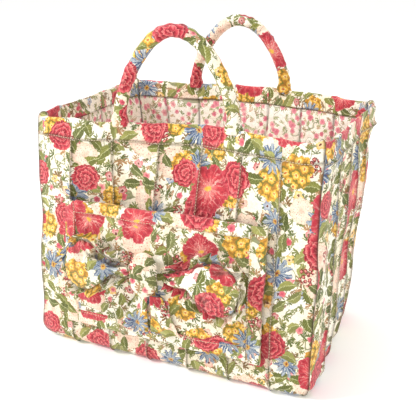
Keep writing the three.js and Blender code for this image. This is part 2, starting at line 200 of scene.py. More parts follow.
def petals_group():
    """The outline of a flower: how far a point is towards its edge, and where it is in its petal."""
    tree, have = new_group(
        "petals", {"Local": "Vector", "Radius": "Float", "Petals": "Float", "Notch": "Float",
                   "Fullness": "Float", "Wobble": "Float"},
        {"Share": "Float", "Across": "Float", "Angle": "Float", "Mask": "Float"})
    wave = add(tree, NOISE, {"Vector": have["Local"], "Scale": 0.11, "Detail": 2.0})
    shift = add(tree, VECTOR, [wave.outputs["Color"], (0.5, 0.5, 0.5)], operation="SUBTRACT")
    push = add(tree, VECTOR, {0: shift, "Scale": have["Wobble"]}, operation="SCALE")
    place = add(tree, VECTOR, [have["Local"], push], operation="ADD")
    flat = add(tree, VECTOR, [place, (1, 1, 0)], operation="MULTIPLY")
    parts = add(tree, "ShaderNodeSeparateXYZ", [flat]).outputs
    angle = add(tree, MATH, [parts[1], parts[0]], operation="ARCTAN2")
    half = add(tree, MATH, [have["Petals"], 0.5], operation="MULTIPLY")
    turn = add(tree, MATH, [angle, half], operation="MULTIPLY")
    sine = add(tree, MATH, [turn], operation="SINE")
    across = add(tree, MATH, [sine], operation="ABSOLUTE")
    full = add(tree, MATH, [across, have["Fullness"]], operation="POWER")
    empty = add(tree, MATH, [1.0, full], operation="SUBTRACT")
    cut = add(tree, MATH, [empty, have["Notch"]], operation="MULTIPLY")
    kept = add(tree, MATH, [1.0, cut], operation="SUBTRACT")
    reach = add(tree, MATH, [kept, have["Radius"]], operation="MULTIPLY")
    length = add(tree, VECTOR, [flat], operation="LENGTH")
    share = add(tree, MATH, [length, reach], operation="DIVIDE")
    soft = add(tree, MATH, [0.45, have["Radius"]], operation="DIVIDE")
    start = add(tree, MATH, [1.0, soft], operation="SUBTRACT")
    mask = add(tree, RANGE, [share, start, 1.0, 1.0, 0.0], interpolation_type=SOFT)
    add(tree, "NodeGroupOutput", {"Share": share, "Across": across, "Angle": angle, "Mask": mask})
    return tree


SCATTER = scatter_group()
PETALS = petals_group()


# %% Ways of dyeing
def dyed(ramp, stops, blend="EASE"):
    """Gives a colour ramp its stops, each a place from 0 to 1 and a hex colour."""
    band = ramp.color_ramp
    band.interpolation = blend
    while len(band.elements) < len(stops):
        band.elements.new(1.0)
    for element, (place, code) in zip(band.elements, stops):
        element.position = place
        element.color = to_linear(code)
    return ramp


def washes(tree, colour, layers, fall="LINEAR"):
    """Lays dyes over a colour. A layer is a value, two places in it, the dye's share at both, and the dye."""
    for value, start, end, share_at_start, share_at_end, dye in layers:
        share = add(tree, RANGE, [value, start, end, share_at_start, share_at_end], interpolation_type=fall)
        colour = add(tree, MIX, {0: share, 6: colour, 7: to_linear(dye)}, data_type="RGBA")
    return colour


def around(tree, form, turns, stretch):
    """Coordinates that run quickly round a flower and slowly outwards, for streaks along its petals."""
    cos = add(tree, MATH, [form["Angle"]], operation="COSINE")
    sin = add(tree, MATH, [form["Angle"]], operation="SINE")
    out = add(tree, MATH, [form["Share"], stretch], operation="MULTIPLY")
    ring = add(tree, "ShaderNodeCombineXYZ", [cos, sin, 0.0])
    wide = add(tree, VECTOR, {0: ring, "Scale": turns}, operation="SCALE")
    lift = add(tree, "ShaderNodeCombineXYZ", [0.0, 0.0, out])
    return add(tree, VECTOR, [wide, lift], operation="ADD")


# %% [markdown]
# ### The flowers
#
# A flower takes its own coordinates and a random number, and gives a colour and a mask. Where it has petals,
# the numbers after its coordinates are its radius, its petals, how deep they are notched, how full they are
# and how far its edge wanders. Where it is made of smaller ones, the scatter's numbers are their cell,
# the turn of the cells and the share of cells that are filled.

# %% Large flowers
def poppy(tree, local, pick):
    """Broad ruffled petals, coral at the edge and streaked with cream towards the heart."""
    form = add(tree, GROUP, [local, 29.0, 5.0, 0.28, 0.45, 11.0], node_tree=PETALS).outputs
    base = dyed(add(tree, RAMP, [form["Share"]]), [
        (0.0, "F4D3BE"), (0.2, "E8807A"), (0.55, "D8424F"), (0.85, "C12A40"), (1.0, "D6505E")])
    lines = add(tree, NOISE, {"Vector": around(tree, form, 7.0, 0.7), "Scale": 1.6, "Detail": 3.0,
                              "Roughness": 0.6})
    streak = add(tree, RANGE, [lines, 0.52, 0.62, 0.0, 0.85])
    fade = add(tree, RANGE, [form["Share"], 0.25, 0.95, 1.0, 0.15])
    pale = add(tree, MATH, [streak, fade], operation="MULTIPLY")
    colour = washes(tree, base, [
        (pale, 0.0, 1.0, 0.0, 1.0, "FBE3D3"), (lines, 0.36, 0.44, 0.6, 0.0, "B02A3E"),
        (form["Across"], 0.0, 0.16, 0.75, 0.0, "A92740")])
    return washes(tree, colour, [(form["Share"], 0.1, 0.16, 1.0, 0.0, "F3C64B")], SOFT), form["Mask"]


def rose(tree, local, pick):
    """Petals wrapped in a spiral, each one light at its lip and deep red where it tucks under."""
    form = add(tree, GROUP, [local, 21.0, 6.0, 0.12, 0.5, 9.0], node_tree=PETALS).outputs
    wave = add(tree, NOISE, {"Vector": local, "Scale": 0.2, "Detail": 1.0})
    rings = add(tree, MATH, [form["Share"], 3.4, wave], operation="MULTIPLY_ADD")
    spiral = add(tree, MATH, [form["Angle"], 0.5 / math.pi, rings], operation="MULTIPLY_ADD")
    lip = add(tree, MATH, [spiral], operation="FRACT")
    base = dyed(add(tree, RAMP, [lip]), [
        (0.0, "8E1730"), (0.25, "B5223C"), (0.6, "D43F52"), (0.88, "EE8C88"), (1.0, "A01B34")])
    lines = add(tree, NOISE, {"Vector": around(tree, form, 5.0, 1.0), "Scale": 2.0, "Detail": 2.0})
    streak = add(tree, RANGE, [lines, 0.54, 0.64, 0.0, 0.5])
    tint = washes(tree, to_linear("E98A86"), [(pick, 0.0, 1.0, 0.0, 1.0, "F3B7A4")])
    colour = add(tree, MIX, {0: streak, 6: base, 7: tint}, data_type="RGBA")
    return washes(tree, colour, [(form["Share"], 0.9, 1.0, 0.0, 0.6, "C02B44")]), form["Mask"]


def daisy(tree, local, pick):
    """Many thin blue-grey petals round a small yellow eye."""
    form = add(tree, GROUP, [local, 20.0, 11.0, 0.6, 0.8, 5.0], node_tree=PETALS).outputs
    lines = add(tree, NOISE, {"Vector": around(tree, form, 6.0, 0.4), "Scale": 2.0, "Detail": 2.0})
    tone = add(tree, RANGE, [lines, 0.35, 0.65, 0.0, 1.0])
    base = dyed(add(tree, RAMP, [tone]), [(0.0, "44557C"), (0.4, "6C7F9C"), (0.7, "9AA9B6"), (1.0, "DADCD6")])
    colour = washes(tree, base, [(form["Across"], 0.9, 1.0, 0.0, 0.5, "E4E7E2")])
    eye = [(form["Share"], 0.21, 0.26, 1.0, 0.0, "E2B544"), (form["Share"], 0.08, 0.12, 1.0, 0.0, "9A3B2C")]
    return washes(tree, colour, eye, SOFT), form["Mask"]


def cluster(tree, local, pick):
    """A head of many small yellow flowers with orange eyes."""
    head = add(tree, GROUP, [local, 19.0, 7.0, 0.2, 0.5, 10.0], node_tree=PETALS).outputs
    small = add(tree, GROUP, [local, 10.5, 0.4, 1.0], node_tree=SCATTER).outputs
    form = add(tree, GROUP, [small["Local"], 5.6, 5.0, 0.3, 0.6, 1.5], node_tree=PETALS).outputs
    base = dyed(add(tree, RAMP, [form["Share"]]), [
        (0.0, "C9552B"), (0.2, "E08A2E"), (0.32, "F6E6A0"), (0.65, "F2C744"), (1.0, "DFA32F")])
    petals = washes(tree, base, [(form["Across"], 0.0, 0.3, 0.6, 0.0, "B9791F")])
    back = dyed(add(tree, RAMP, [small["Pick"]]), [(0.0, "D9A22F"), (0.5, "B5892F"), (1.0, "8D8A3C")])
    colour = add(tree, MIX, {0: form["Mask"], 6: back, 7: petals}, data_type="RGBA")
    return colour, head["Mask"]


def pompom(tree, local, pick):
    """A pale peach ball of fine petals, flecked with rose."""
    form = add(tree, GROUP, [local, 20.0, 9.0, 0.12, 0.6, 6.0], node_tree=PETALS).outputs
    base = dyed(add(tree, RAMP, [form["Share"]]), [(0.0, "F4C9B2"), (0.5, "F9E6D2"), (1.0, "F6DCC4")])
    flecks = add(tree, GROUP, [local, 3.4, 0.9, 0.75], node_tree=SCATTER).outputs
    narrow = add(tree, VECTOR, [flecks["Local"], (1.0, 2.6, 0.0)], operation="MULTIPLY")
    far = add(tree, VECTOR, [narrow], operation="LENGTH")
    dot = add(tree, RANGE, [far, 0.6, 1.1, 1.0, 0.0], interpolation_type=SOFT)
    shown = add(tree, MATH, [dot, flecks["Shown"]], operation="MULTIPLY")
    fleck = washes(tree, to_linear("D96C6A"), [(flecks["Pick"], 0.0, 1.0, 0.0, 1.0, "A08A54")])
    colour = add(tree, MIX, {0: shown, 6: base, 7: fleck}, data_type="RGBA")
    return colour, form["Mask"]


# %% Leaves and small flowers
LEAF_HALF_LENGTH, LEAF_HALF_WIDTH, LEAF_RIB_PITCH = 13.0, 6.4, 3.2


def leaf(tree, local, pick):
    """A pair of olive leaves on one stem, with pale ribs."""
    parts = add(tree, "ShaderNodeSeparateXYZ", [local]).outputs
    side = add(tree, MATH, [parts[0]], operation="ABSOLUTE")
    bow = add(tree, MATH, [side, LEAF_HALF_LENGTH], operation="SUBTRACT")
    curl = add(tree, MATH, [bow, bow], operation="MULTIPLY")
    height = add(tree, MATH, [curl, 0.02, parts[1]], operation="MULTIPLY_ADD")
    narrowing = -LEAF_HALF_WIDTH / LEAF_HALF_LENGTH ** 2
    wide = add(tree, MATH, [curl, narrowing, LEAF_HALF_WIDTH], operation="MULTIPLY_ADD")
    off = add(tree, MATH, [height], operation="ABSOLUTE")
    inside = add(tree, MATH, [wide, off], operation="SUBTRACT")
    mask = add(tree, RANGE, [inside, 0.0, 0.5, 0.0, 1.0], interpolation_type=SOFT)
    base = dyed(add(tree, RAMP, [pick]), [
        (0.0, "7B8040"), (0.35, "96974C"), (0.6, "B1AF68"), (0.85, "8B8E5A"), (1.0, "687036")])
    slant = add(tree, MATH, [off, 0.9, side], operation="MULTIPLY_ADD")
    saw = add(tree, MATH, [slant, 2 * math.pi / LEAF_RIB_PITCH], operation="MULTIPLY")
    wave = add(tree, MATH, [saw], operation="SINE")
    colour = washes(tree, base, [
        (wave, 0.75, 1.0, 0.0, 0.55, "C6C78E"), (height, -0.01, 0.01, 0.35, 0.0, "525A2A")])
    return washes(tree, colour, [(off, 0.15, 0.45, 1.0, 0.0, "D9D8A8")], SOFT), mask


def sprig(tree, local, pick):
    """A spray of narrow leaves on one side of a short stem, olive, brown or rust."""
    form = add(tree, GROUP, [local, 8.5, 9.0, 0.85, 1.0, 4.5], node_tree=PETALS).outputs
    colour = dyed(add(tree, RAMP, [pick]), [
        (0.0, "8A9050"), (0.3, "75804A"), (0.5, "A5A268"), (0.7, "96774A"), (0.86, "BE9668"),
        (1.0, "BC6048")], "CONSTANT")
    height = add(tree, "ShaderNodeSeparateXYZ", [local]).outputs[1]
    above = add(tree, RANGE, [height, -0.8, 0.2, 0.0, 1.0])
    return colour, add(tree, MATH, [form["Mask"], above], operation="MULTIPLY")


def twig(tree, local, pick):
    """The same spray at two thirds of its size, for the small print."""
    wide = add(tree, VECTOR, {0: local, "Scale": 1.5}, operation="SCALE")
    return sprig(tree, wide, pick)


def bud(tree, local, pick):
    """A small pink rose, darker in its heart."""
    form = add(tree, GROUP, [local, 4.8, 6.0, 0.22, 0.6, 2.4], node_tree=PETALS).outputs
    base = dyed(add(tree, RAMP, [pick]), [(0.0, "E8808A"), (0.4, "F0A3A0"), (0.75, "DE6A78")], "CONSTANT")
    return washes(tree, base, [(form["Share"], 0.15, 0.75, 0.8, 0.0, "C4405A")]), form["Mask"]


def floret(tree, local, pick):
    """A small five-petalled flower with a dark eye."""
    form = add(tree, GROUP, [local, 6.6, 5.0, 0.4, 0.6, 2.0], node_tree=PETALS).outputs
    base = dyed(add(tree, RAMP, [pick]), [
        (0.0, "E3707A"), (0.25, "C63A4D"), (0.5, "F0C250"), (0.72, "8FA3BF"), (0.88, "F3B29C")], "CONSTANT")
    colour = washes(tree, base, [(form["Share"], 0.35, 1.0, 0.55, 0.0, "FBEFDD")])
    return washes(tree, colour, [(form["Share"], 0.22, 0.3, 1.0, 0.0, "7A3A2A")], SOFT), form["Mask"]


def berries(tree, local, pick):
    """A loose bunch of red berries drawn in outline."""
    bunch = add(tree, GROUP, [local, 11.0, 5.0, 0.35, 0.7, 6.0], node_tree=PETALS).outputs
    small = add(tree, GROUP, [local, 5.4, 0.2, 0.9], node_tree=SCATTER).outputs
    far = add(tree, VECTOR, [small["Local"]], operation="LENGTH")
    ball = add(tree, RANGE, [far, 2.1, 2.5, 1.0, 0.0], interpolation_type=SOFT)
    shown = add(tree, MATH, [ball, small["Shown"]], operation="MULTIPLY")
    mask = add(tree, MATH, [shown, bunch["Mask"]], operation="MULTIPLY")
    return washes(tree, to_linear("8E1F2C"), [(far, 1.1, 1.5, 1.0, 0.0, "EE9C90")], SOFT), mask


# %% Flowers as groups
def motif(draw):
    """A flower as a group: from its own coordinates and its random number to a colour and a mask."""
    tree, have = new_group(draw.__name__, {"Local": "Vector", "Pick": "Float"},
                           {"Colour": "Color", "Mask": "Float"})
    colour, mask = draw(tree, have["Local"], have["Pick"])
    add(tree, "NodeGroupOutput", {"Colour": colour, "Mask": mask})
    return tree


MOTIFS = {draw.__name__: motif(draw)
          for draw in (poppy, rose, daisy, cluster, pompom, leaf, sprig, floret, berries, bud, twig)}
print("motifs:", ", ".join(MOTIFS))

# %% [markdown]
# ### Laying the motifs out
#
# Each sheet of the print is one line: the motif, its cell in millimetres, how the cells are turned, and the
# share of cells that hold a flower. Small things come first and the largest flowers last, so that big
# blooms overlap the leaves behind them as they do in a bouquet. The ground is an ivory wash with faint
# warm clouds, and a thin olive tendril wanders along the level line of a smooth noise. A print of this
# kind looks painted, so a noise makes every edge wander and another lays the dye on unevenly.

# %% The two prints
GARDEN = [
    ("twig", 9.0, 0.9, 0.5), ("sprig", 14.0, 0.3, 0.72), ("floret", 19.0, 0.7, 0.36),
    ("sprig", 18.0, 1.2, 0.55), ("bud", 17.0, 1.9, 0.22), ("leaf", 33.0, 0.2, 0.5),
    ("pompom", 54.0, 0.5, 0.5), ("leaf", 38.0, 1.0, 0.55),
    ("berries", 40.0, 2.3, 0.34), ("cluster", 52.0, 2.7, 0.45), ("daisy", 54.0, 1.4, 0.45),
    ("leaf", 52.0, 2.2, 0.5), ("rose", 56.0, 0.9, 0.28), ("poppy", 84.0, 0.1, 0.4),
]
DITSY = [
    ("twig", 8.6, 0.3, 0.55), ("twig", 11.0, 1.3, 0.45), ("bud", 12.0, 0.6, 0.5), ("bud", 16.0, 1.8, 0.4),
]
BRUSH_WANDER = 5.0
SHEET_SHIFT = (31.7, 17.3)


def print_group(name, sheets, ground, clouds, depth):
    """A whole print: a place on the cloth in millimetres goes in and its dye colour comes out."""
    tree, have = new_group(name, {"Place": "Vector"}, {"Colour": "Color"})
    cloud = add(tree, NOISE, {"Vector": have["Place"], "Scale": 0.022, "Detail": 3.0})
    bend = add(tree, NOISE, {"Vector": have["Place"], "Scale": 0.03, "Detail": 1.0})
    level = add(tree, MATH, [bend, 0.5], operation="SUBTRACT")
    tendril = add(tree, MATH, [level], operation="ABSOLUTE")
    colour = washes(tree, to_linear(ground), [
        (cloud, 0.42, 0.62, 0.0, 1.0, clouds), (tendril, 0.004, 0.008, 0.8, 0.0, "7F8550")])
    wander = add(tree, NOISE, {"Vector": have["Place"], "Scale": 0.3, "Detail": 3.0, "Roughness": 0.7})
    centred = add(tree, VECTOR, [wander.outputs["Color"], (0.5, 0.5, 0.5)], operation="SUBTRACT")
    offset = add(tree, VECTOR, {0: centred, "Scale": BRUSH_WANDER}, operation="SCALE")
    brushed = add(tree, VECTOR, [have["Place"], offset], operation="ADD")
    for order, (kind, cell, turn, shown) in enumerate(sheets):
        shift = (SHEET_SHIFT[0] * order, SHEET_SHIFT[1] * order, 0)
        moved = add(tree, VECTOR, [brushed, shift], operation="ADD")
        spot = add(tree, GROUP, [moved, cell, turn, shown], node_tree=SCATTER).outputs
        size = add(tree, MATH, [spot["Pick"], 0.45, 0.95], operation="MULTIPLY_ADD")
        drawn = add(tree, VECTOR, {0: spot["Local"], "Scale": size}, operation="SCALE")
        flower = add(tree, GROUP, [drawn, spot["Pick 2"]], node_tree=MOTIFS[kind]).outputs
        mask = add(tree, MATH, [flower["Mask"], spot["Shown"]], operation="MULTIPLY")
        edge = add(tree, RANGE, [mask, 0.1, 0.6, 0.0, 1.0])
        colour = add(tree, MIX, {0: edge, 6: colour, 7: flower["Colour"]}, data_type="RGBA")
    deep = add(tree, "ShaderNodeGamma", {"Color": colour, "Gamma": depth})
    strokes = add(tree, NOISE, {"Vector": brushed, "Scale": 0.42, "Detail": 4.0, "Roughness": 0.65})
    load = add(tree, RANGE, [strokes, 0.35, 0.65, 0.88, 1.16])
    laid = add(tree, "ShaderNodeHueSaturation", {"Color": deep, "Saturation": 0.95, "Value": load})
    add(tree, "NodeGroupOutput", [laid])
    return tree


GARDEN_PRINT = print_group("garden_print", GARDEN, "FDF7E8", "FAEFD6", 1.22)
DITSY_PRINT = print_group("ditsy_print", DITSY, "FFF5E4", "FDEBD3", 0.78)

# %% [markdown]
# ### Quilting cotton
#
# Plain-woven quilting cotton has about 24 threads to the centimetre. It is matt, with a faint bloom of
# loose fibre at grazing angles, which sheen gives. The dye sits in the threads, so the print's colour is
# broken slightly by the weave. The true thread spacing of 0.4 mm is finer than a picture of the whole bag
# can show, so the weave is drawn at 0.8 mm. Soft creases a centimetre or so long are in the bump as well.

# %% Cotton material
THREAD_MM = 0.8


def cotton(name, dye):
    """A woven cotton in one of the prints, with painted shade in its sewn and folded valleys."""
    material, tree, shader = new_material(name, {
        "Sheen Weight": 0.2, "Sheen Roughness": 0.5, "Specular IOR Level": 0.25})
    cloth = add(tree, "ShaderNodeUVMap", uv_map="cloth")
    place = add(tree, VECTOR, {0: cloth, "Scale": 1000.0}, operation="SCALE")
    parts = add(tree, "ShaderNodeSeparateXYZ", [place]).outputs
    threads = []
    for axis in (0, 1):
        turned = add(tree, MATH, [parts[axis], math.pi / THREAD_MM], operation="MULTIPLY")
        sine = add(tree, MATH, [turned], operation="SINE")
        threads.append(add(tree, MATH, [sine, sine], operation="MULTIPLY"))
    weave = add(tree, MATH, threads, operation="MULTIPLY")
    slub = add(tree, NOISE, {"Vector": place, "Scale": 0.35, "Detail": 3.0})
    worn = add(tree, RANGE, [slub, 0.3, 0.7, -0.06, 0.06])
    thready = add(tree, MATH, [weave, 0.09, worn], operation="MULTIPLY_ADD")
    value = add(tree, MATH, [thready, 0.95], operation="ADD")
    # Painted shade: where the seam attribute marks a valley, sewn on the walls and folded on the bow, the
    # print is darkened towards brown 47372A. On the walls it also stands for the seam's own darker line.
    seam = add(tree, "ShaderNodeAttribute", attribute_name="seam").outputs["Fac"]
    valley = washes(tree, add(tree, GROUP, [place], node_tree=dye), [(seam, 0.0, 1.0, 0.0, 0.78, "47372A")])
    toned = add(tree, "ShaderNodeHueSaturation", {"Color": valley, "Value": value})
    creases = add(tree, NOISE, {"Vector": place, "Scale": 0.1, "Detail": 4.0, "Roughness": 0.55})
    creased = add(tree, "ShaderNodeBump", {"Height": creases, "Strength": 0.5, "Distance": 0.004})
    woven = add(tree, "ShaderNodeBump", {"Height": weave, "Strength": 0.25, "Distance": 0.0004,
                                         "Normal": creased})
    rough = add(tree, RANGE, [slub, 0.3, 0.7, 0.78, 0.92])
    for label, made in (("Base Color", toned), ("Roughness", rough), ("Normal", woven)):
        tree.links.new(made.outputs[0], shader.inputs[label])
    return material


PRINTED = cotton("printed_quilting_cotton", GARDEN_PRINT)
LINING = cotton("ditsy_lining_cotton", DITSY_PRINT)

# %% [markdown]
# ## The shape of the standing bag
#
# The bag is cut as a plain box with rounded upright edges, then it slumps: the front rim sinks inwards in
# the middle, the back bulges, and the back corners flare. All cloth here is drawn on the plain box, in
# millimetres, and one function moves it into the slumped shape, so that pieces which lie on each other
# still do. The same slump shaped the frame. Here it also carries broad shallow dents, because soft
# cloth on wadding is never flat over a hand's width.

# %% The slump
HEIGHT, HALF_WIDTH, HALF_DEPTH = 288.0, 186.0, 127.5
EDGE_RADIUS, TUCK_RADIUS = 30.0, 18.0
# Where the four corners of the box stand on the floor and at the rim, from front left to back left.
BASE = {"fl": (-191, -118.5), "fr": (186, -137.5), "br": (143, 127.5), "bl": (-143, 127.5)}
RIM = {"fl": (-175, -124), "fr": (185, -115), "br": (176, 127), "bl": (-188, 146)}
TO_FRAME = np.array([1.2647, -0.2666, 0.0])
DENTS = 2.2


def hump(u, middle, reach):
    """A smooth rise from 0 to 1 and back, reach wide on each side of its middle."""
    return np.cos(np.clip((u - middle) / reach, -1, 1) * math.pi / 2) ** 2


def waves(points, length, seed, octaves=2):
    """Smooth noise at points in mm, roughly -1 to 1, made of a few random sine waves."""
    random = np.random.default_rng(seed)
    total = np.zeros(points.shape[:-1])
    for octave in range(octaves):
        for _ in range(5):
            way = random.normal(size=points.shape[-1])
            way *= 2 * math.pi * 2 ** octave / length / np.linalg.norm(way)
            total += np.sin(points @ way + random.uniform(0, 7)) / 2 ** octave / 2.2
    return total / (2 - 0.5 ** (octaves - 1))


def slump(points, dents=DENTS):
    """Points of the plain box, in mm, as places in the standing bag, in metres."""
    p = np.asarray(points, float)
    u, v = p[..., 0] / HALF_WIDTH, p[..., 1] / HALF_DEPTH
    up = np.clip(p[..., 2] / HEIGHT, 0, 1)
    front, back = (1 - v) / 2, (1 + v) / 2
    place = np.zeros(p.shape)
    corners = (("fl", front * (1 - u) / 2, up), ("fr", front * (1 + u) / 2, up),
               ("br", back * (1 + u) / 2, up ** 0.65), ("bl", back * (1 - u) / 2, up ** 0.65))
    for name, weight, climb in corners:
        for axis in (0, 1):
            place[..., axis] += weight * (BASE[name][axis] * (1 - climb) + RIM[name][axis] * climb)
    place[..., 1] += 32 * hump(u, 0.12, 0.84) * up ** 2.5 * front
    place[..., 1] += 30 * hump(u, 0, 1) * up ** 1.5 * back
    place[..., 2] = p[..., 2]
    soft = np.clip(p[..., 2] / 40, 0, 1) * dents
    place[..., 0] += soft * waves(p, 120, 3) * np.abs(u) ** 2
    place[..., 1] += soft * waves(p, 105, 4) * np.abs(v) ** 2
    place[..., 2] += np.clip(up - 0.6, 0, 1) * dents * 1.6 * waves(p[..., :2], 150, 5)
    return (place + TO_FRAME) / 1000


# %% [markdown]
# ### Mesh helpers
#
# Almost every piece is cloth folded into a closed strip: a grid of rows and columns with an outer and an
# inner side, joined round its edges. One function builds that, with the cloth's UV map in metres, so that
# the print, weave and stitches all have their true size.

# %% Mesh helpers
def points_of(mesh):
    return np.array([v.co for v in mesh.vertices])


def lay_cloth(mesh, uv):
    """Gives each point of a mesh its place on the cloth, in mm, and shades the mesh smooth."""
    layer = mesh.uv_layers.new(name="cloth")
    corner = np.empty(len(mesh.loops), np.int32)
    mesh.loops.foreach_get("vertex_index", corner)
    layer.data.foreach_set("uv", (uv[corner] / 1000).ravel())
    mesh.polygons.foreach_set("use_smooth", [True] * len(mesh.polygons))


def shade_seams(mesh, shade):
    """Stores how deep in a seam each point lies, from 0 to 1, for the cotton to darken as painted shade."""
    seams = mesh.attributes.new("seam", "FLOAT", "POINT")
    seams.data.foreach_set("value", shade.ravel().astype(np.float32))


def point_outwards(mesh):
    """Turns a closed mesh's faces so that its signed volume is positive."""
    mesh.calc_loop_triangles()
    triangles = np.array([t.vertices for t in mesh.loop_triangles])
    a, b, c = (points_of(mesh)[triangles[:, i]] for i in range(3))
    if np.einsum("ij,ij->i", a, np.cross(b, c)).sum() < 0:
        mesh.flip_normals()


def finish_mesh(name, points, faces, uv, material):
    """A closed mesh object from points in metres, its faces, and each point's place on the cloth in mm."""
    mesh = bpy.data.meshes.new(name)
    mesh.from_pydata(points.tolist(), [], faces)
    lay_cloth(mesh, uv)
    point_outwards(mesh)
    mesh.materials.append(material)
    made = bpy.data.objects.new(name, mesh)
    scene.collection.objects.link(made)
    return made


def stands_for(made, body, *nodes):
    """The piece takes the place of these frame pieces and moves with their body."""
    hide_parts(*nodes)
    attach(made, body)
    return made


def quads(index):
    """The quads of a grid of point numbers."""
    corners = (index[:-1, :-1], index[:-1, 1:], index[1:, 1:], index[1:, :-1])
    return np.stack(corners, -1).reshape(-1, 4)


def sandwich(name, outer, inner, uv, material, shade=None):
    """A closed strip of cloth from its outer and inner points, each (rows, columns, 3) in metres."""
    rows, columns = outer.shape[:2]
    top = np.arange(rows * columns).reshape(rows, columns)
    low = top + rows * columns
    sides = [quads(top), quads(low)[:, ::-1]]
    for edge, other in ((top[0], low[0]), (low[-1], top[-1]), (low[:, 0], top[:, 0]),
                        (top[:, -1], low[:, -1])):
        sides.append(quads(np.stack([other, edge])))
    points = np.concatenate([outer.reshape(-1, 3), inner.reshape(-1, 3)])
    both = np.concatenate([uv.reshape(-1, 2)] * 2)
    made = finish_mesh(name, points, np.concatenate(sides).tolist(), both, material)
    if shade is not None:
        shade_seams(made.data, np.stack([shade, shade]))
    return made


def tube_mesh(name, rings, uv, material):
    """A closed tube from rings of points, (rings, around, 3) in metres; its ends close on a point."""
    count, girth = rings.shape[:2]
    index = np.arange(count * girth).reshape(count, girth)
    index = np.concatenate([index, index[:, :1]], 1)
    faces = quads(index).tolist()
    for middle, ring in ((count * girth, index[0, ::-1]), (count * girth + 1, index[-1])):
        faces += [(here, there, middle) for here, there in zip(ring.tolist(), ring[1:].tolist())]
    points = np.concatenate([rings.reshape(-1, 3), rings[:1].mean(1), rings[-1:].mean(1)])
    both = np.concatenate([uv.reshape(-1, 2), uv[:1].mean(1), uv[-1:].mean(1)])
    return finish_mesh(name, points, faces, both, material)


# %% [markdown]
# ## The quilted walls
#
# Each wall is one quilted panel: printed cotton, wadding, and a strip of the print turned in over the
# rim. Straight seams about 50 mm apart run from base to rim and pull the wadding down into creases, and
# one level seam holds the turned-in strip 23 mm below the rim. Between the seams the wadding lifts the
# cloth by 3 mm. Machine quilting gathers the cloth slightly, so short puckers fan out from each seam.
# The panels meet in sewn edges, where the surface also drops into a valley.

# %% Quilting
FRONT_LINES = np.array([52.7, 105.0, 158.0, 210.0, 262.3, 312.4])
RIM_LINE = 265.0
# How high the cloth puffs and how deep a seam pulls it, how far from a seam each reaches, and the
# pitch of the puckers along the upright seams and along the rim's.
PUFF, GROOVE = 3.6, 2.4
PUFF_REACH, GROOVE_REACH = 8.5, 1.9
PUCKER_PITCH, RIM_PUCKER_PITCH = 11.0, 10.0


def seam_drift(field, seed):
    """How far a hand-guided upright seam strays to the side."""
    return 1.4 * waves(field, 90, seed)


def rim_drift(field, seed):
    return 0.8 * waves(field, 70, seed + 1)


def quilt(s, v, length, lines, rim_line, seed):
    """How far the cloth stands off the panel's plain surface, in mm, at s along and v up it."""
    field = np.stack([s, v], -1)
    near = np.min(np.abs((s + seam_drift(field, seed))[..., None] - lines), -1)
    level = np.abs(v + rim_drift(field, seed) - rim_line)
    edge = np.minimum(s, length - s)
    above = v > rim_line
    near = np.where(above, near + 7, near)
    lift = np.where(above, 0.75, 1.0)
    for distance in (near, level, edge + 0.8):
        lift = lift * (1 - np.exp(-distance / PUFF_REACH))
    sink = sum(np.exp(-(d / GROOVE_REACH) ** 2) for d in (np.where(above, 99, near), level, edge))
    turn = 2 * math.pi * v / PUCKER_PITCH + 3.5 * waves(field, 42, seed + 2)
    rim_turn = 2 * math.pi * s / RIM_PUCKER_PITCH + 3 * waves(field, 38, seed + 3)
    pucker, pucker_rim = np.exp(-near / 9) * np.sin(turn), np.exp(-level / 7) * np.sin(rim_turn)
    soft = 0.7 * waves(field, 34, seed + 4, 3)
    fine = (1 - np.exp(-np.minimum(near, level) / 3))
    gathers = (1.0 * pucker + 0.8 * pucker_rim) * fine
    return PUFF * lift + gathers + soft * lift - GROOVE * np.clip(sink, 0, 1)


def seam_shade(s, v, length, lines, rim_line, seed):
    """1 in a seam and 0 away from it, for the painted shade in a sewn valley, together with the seam's own
    darker line.
    """
    field = np.stack([s, v], -1)
    near = np.min(np.abs((s + seam_drift(field, seed))[..., None] - lines), -1)
    near = np.where(v > rim_line, near + 2.5, near)
    level = np.abs(v + rim_drift(field, seed) - rim_line)
    edge = np.minimum(s, length - s)
    return np.max([np.exp(-(d / 1.5) ** 2) for d in (near, level, edge)], 0)


# %% Wall panels
SIDES = {
    "front": ((1, 0), (0, -1), HALF_WIDTH, HALF_DEPTH), "right": ((0, 1), (1, 0), HALF_DEPTH, HALF_WIDTH),
    "back": ((-1, 0), (0, 1), HALF_WIDTH, HALF_DEPTH), "left": ((0, -1), (-1, 0), HALF_DEPTH, HALF_WIDTH),
}
# The rim's thickness, the outside and its wadding together, and half the arc round an upright edge.
RIM_THICKNESS = 8.0
WADDED = 4.3
ARC = EDGE_RADIUS * math.pi / 4


def seed_of(side):
    """Where the random waves of a wall start; the seeds of its outside and its lining lie 50 apart."""
    return 10 + 10 * list(SIDES).index(side)


def side_length(side):
    """How long a wall is in mm, from corner seam to corner seam."""
    return 2 * (SIDES[side][2] - EDGE_RADIUS) + 2 * ARC


def wall_point(side, s, inset, z):
    """A point of the plain box at s mm along a wall, inset from its outer surface."""
    way, out, half, reach = SIDES[side]
    length = side_length(side)
    past = np.maximum(ARC - s, 0) + np.maximum(s - (length - ARC), 0)
    turn = past / EDGE_RADIUS
    lean = np.where(s < length / 2, -1.0, 1.0)
    radius = EDGE_RADIUS - inset
    along = np.clip(s - ARC, 0, length - 2 * ARC) - (length / 2 - ARC) + lean * radius * np.sin(turn)
    away = reach - EDGE_RADIUS + radius * np.cos(turn)
    return np.stack([way[0] * along + out[0] * away, way[1] * along + out[1] * away,
                     np.broadcast_to(z, along.shape)], -1)


def distance_run(points):
    """How far along a line each of its points lies."""
    return np.concatenate([[0], np.cumsum(np.linalg.norm(np.diff(points, axis=0), axis=1))])


def along_line(points, at):
    """The points of a line at some distances along it."""
    run = distance_run(points)
    return np.stack([np.interp(at, run, part) for part in np.transpose(points)], -1)


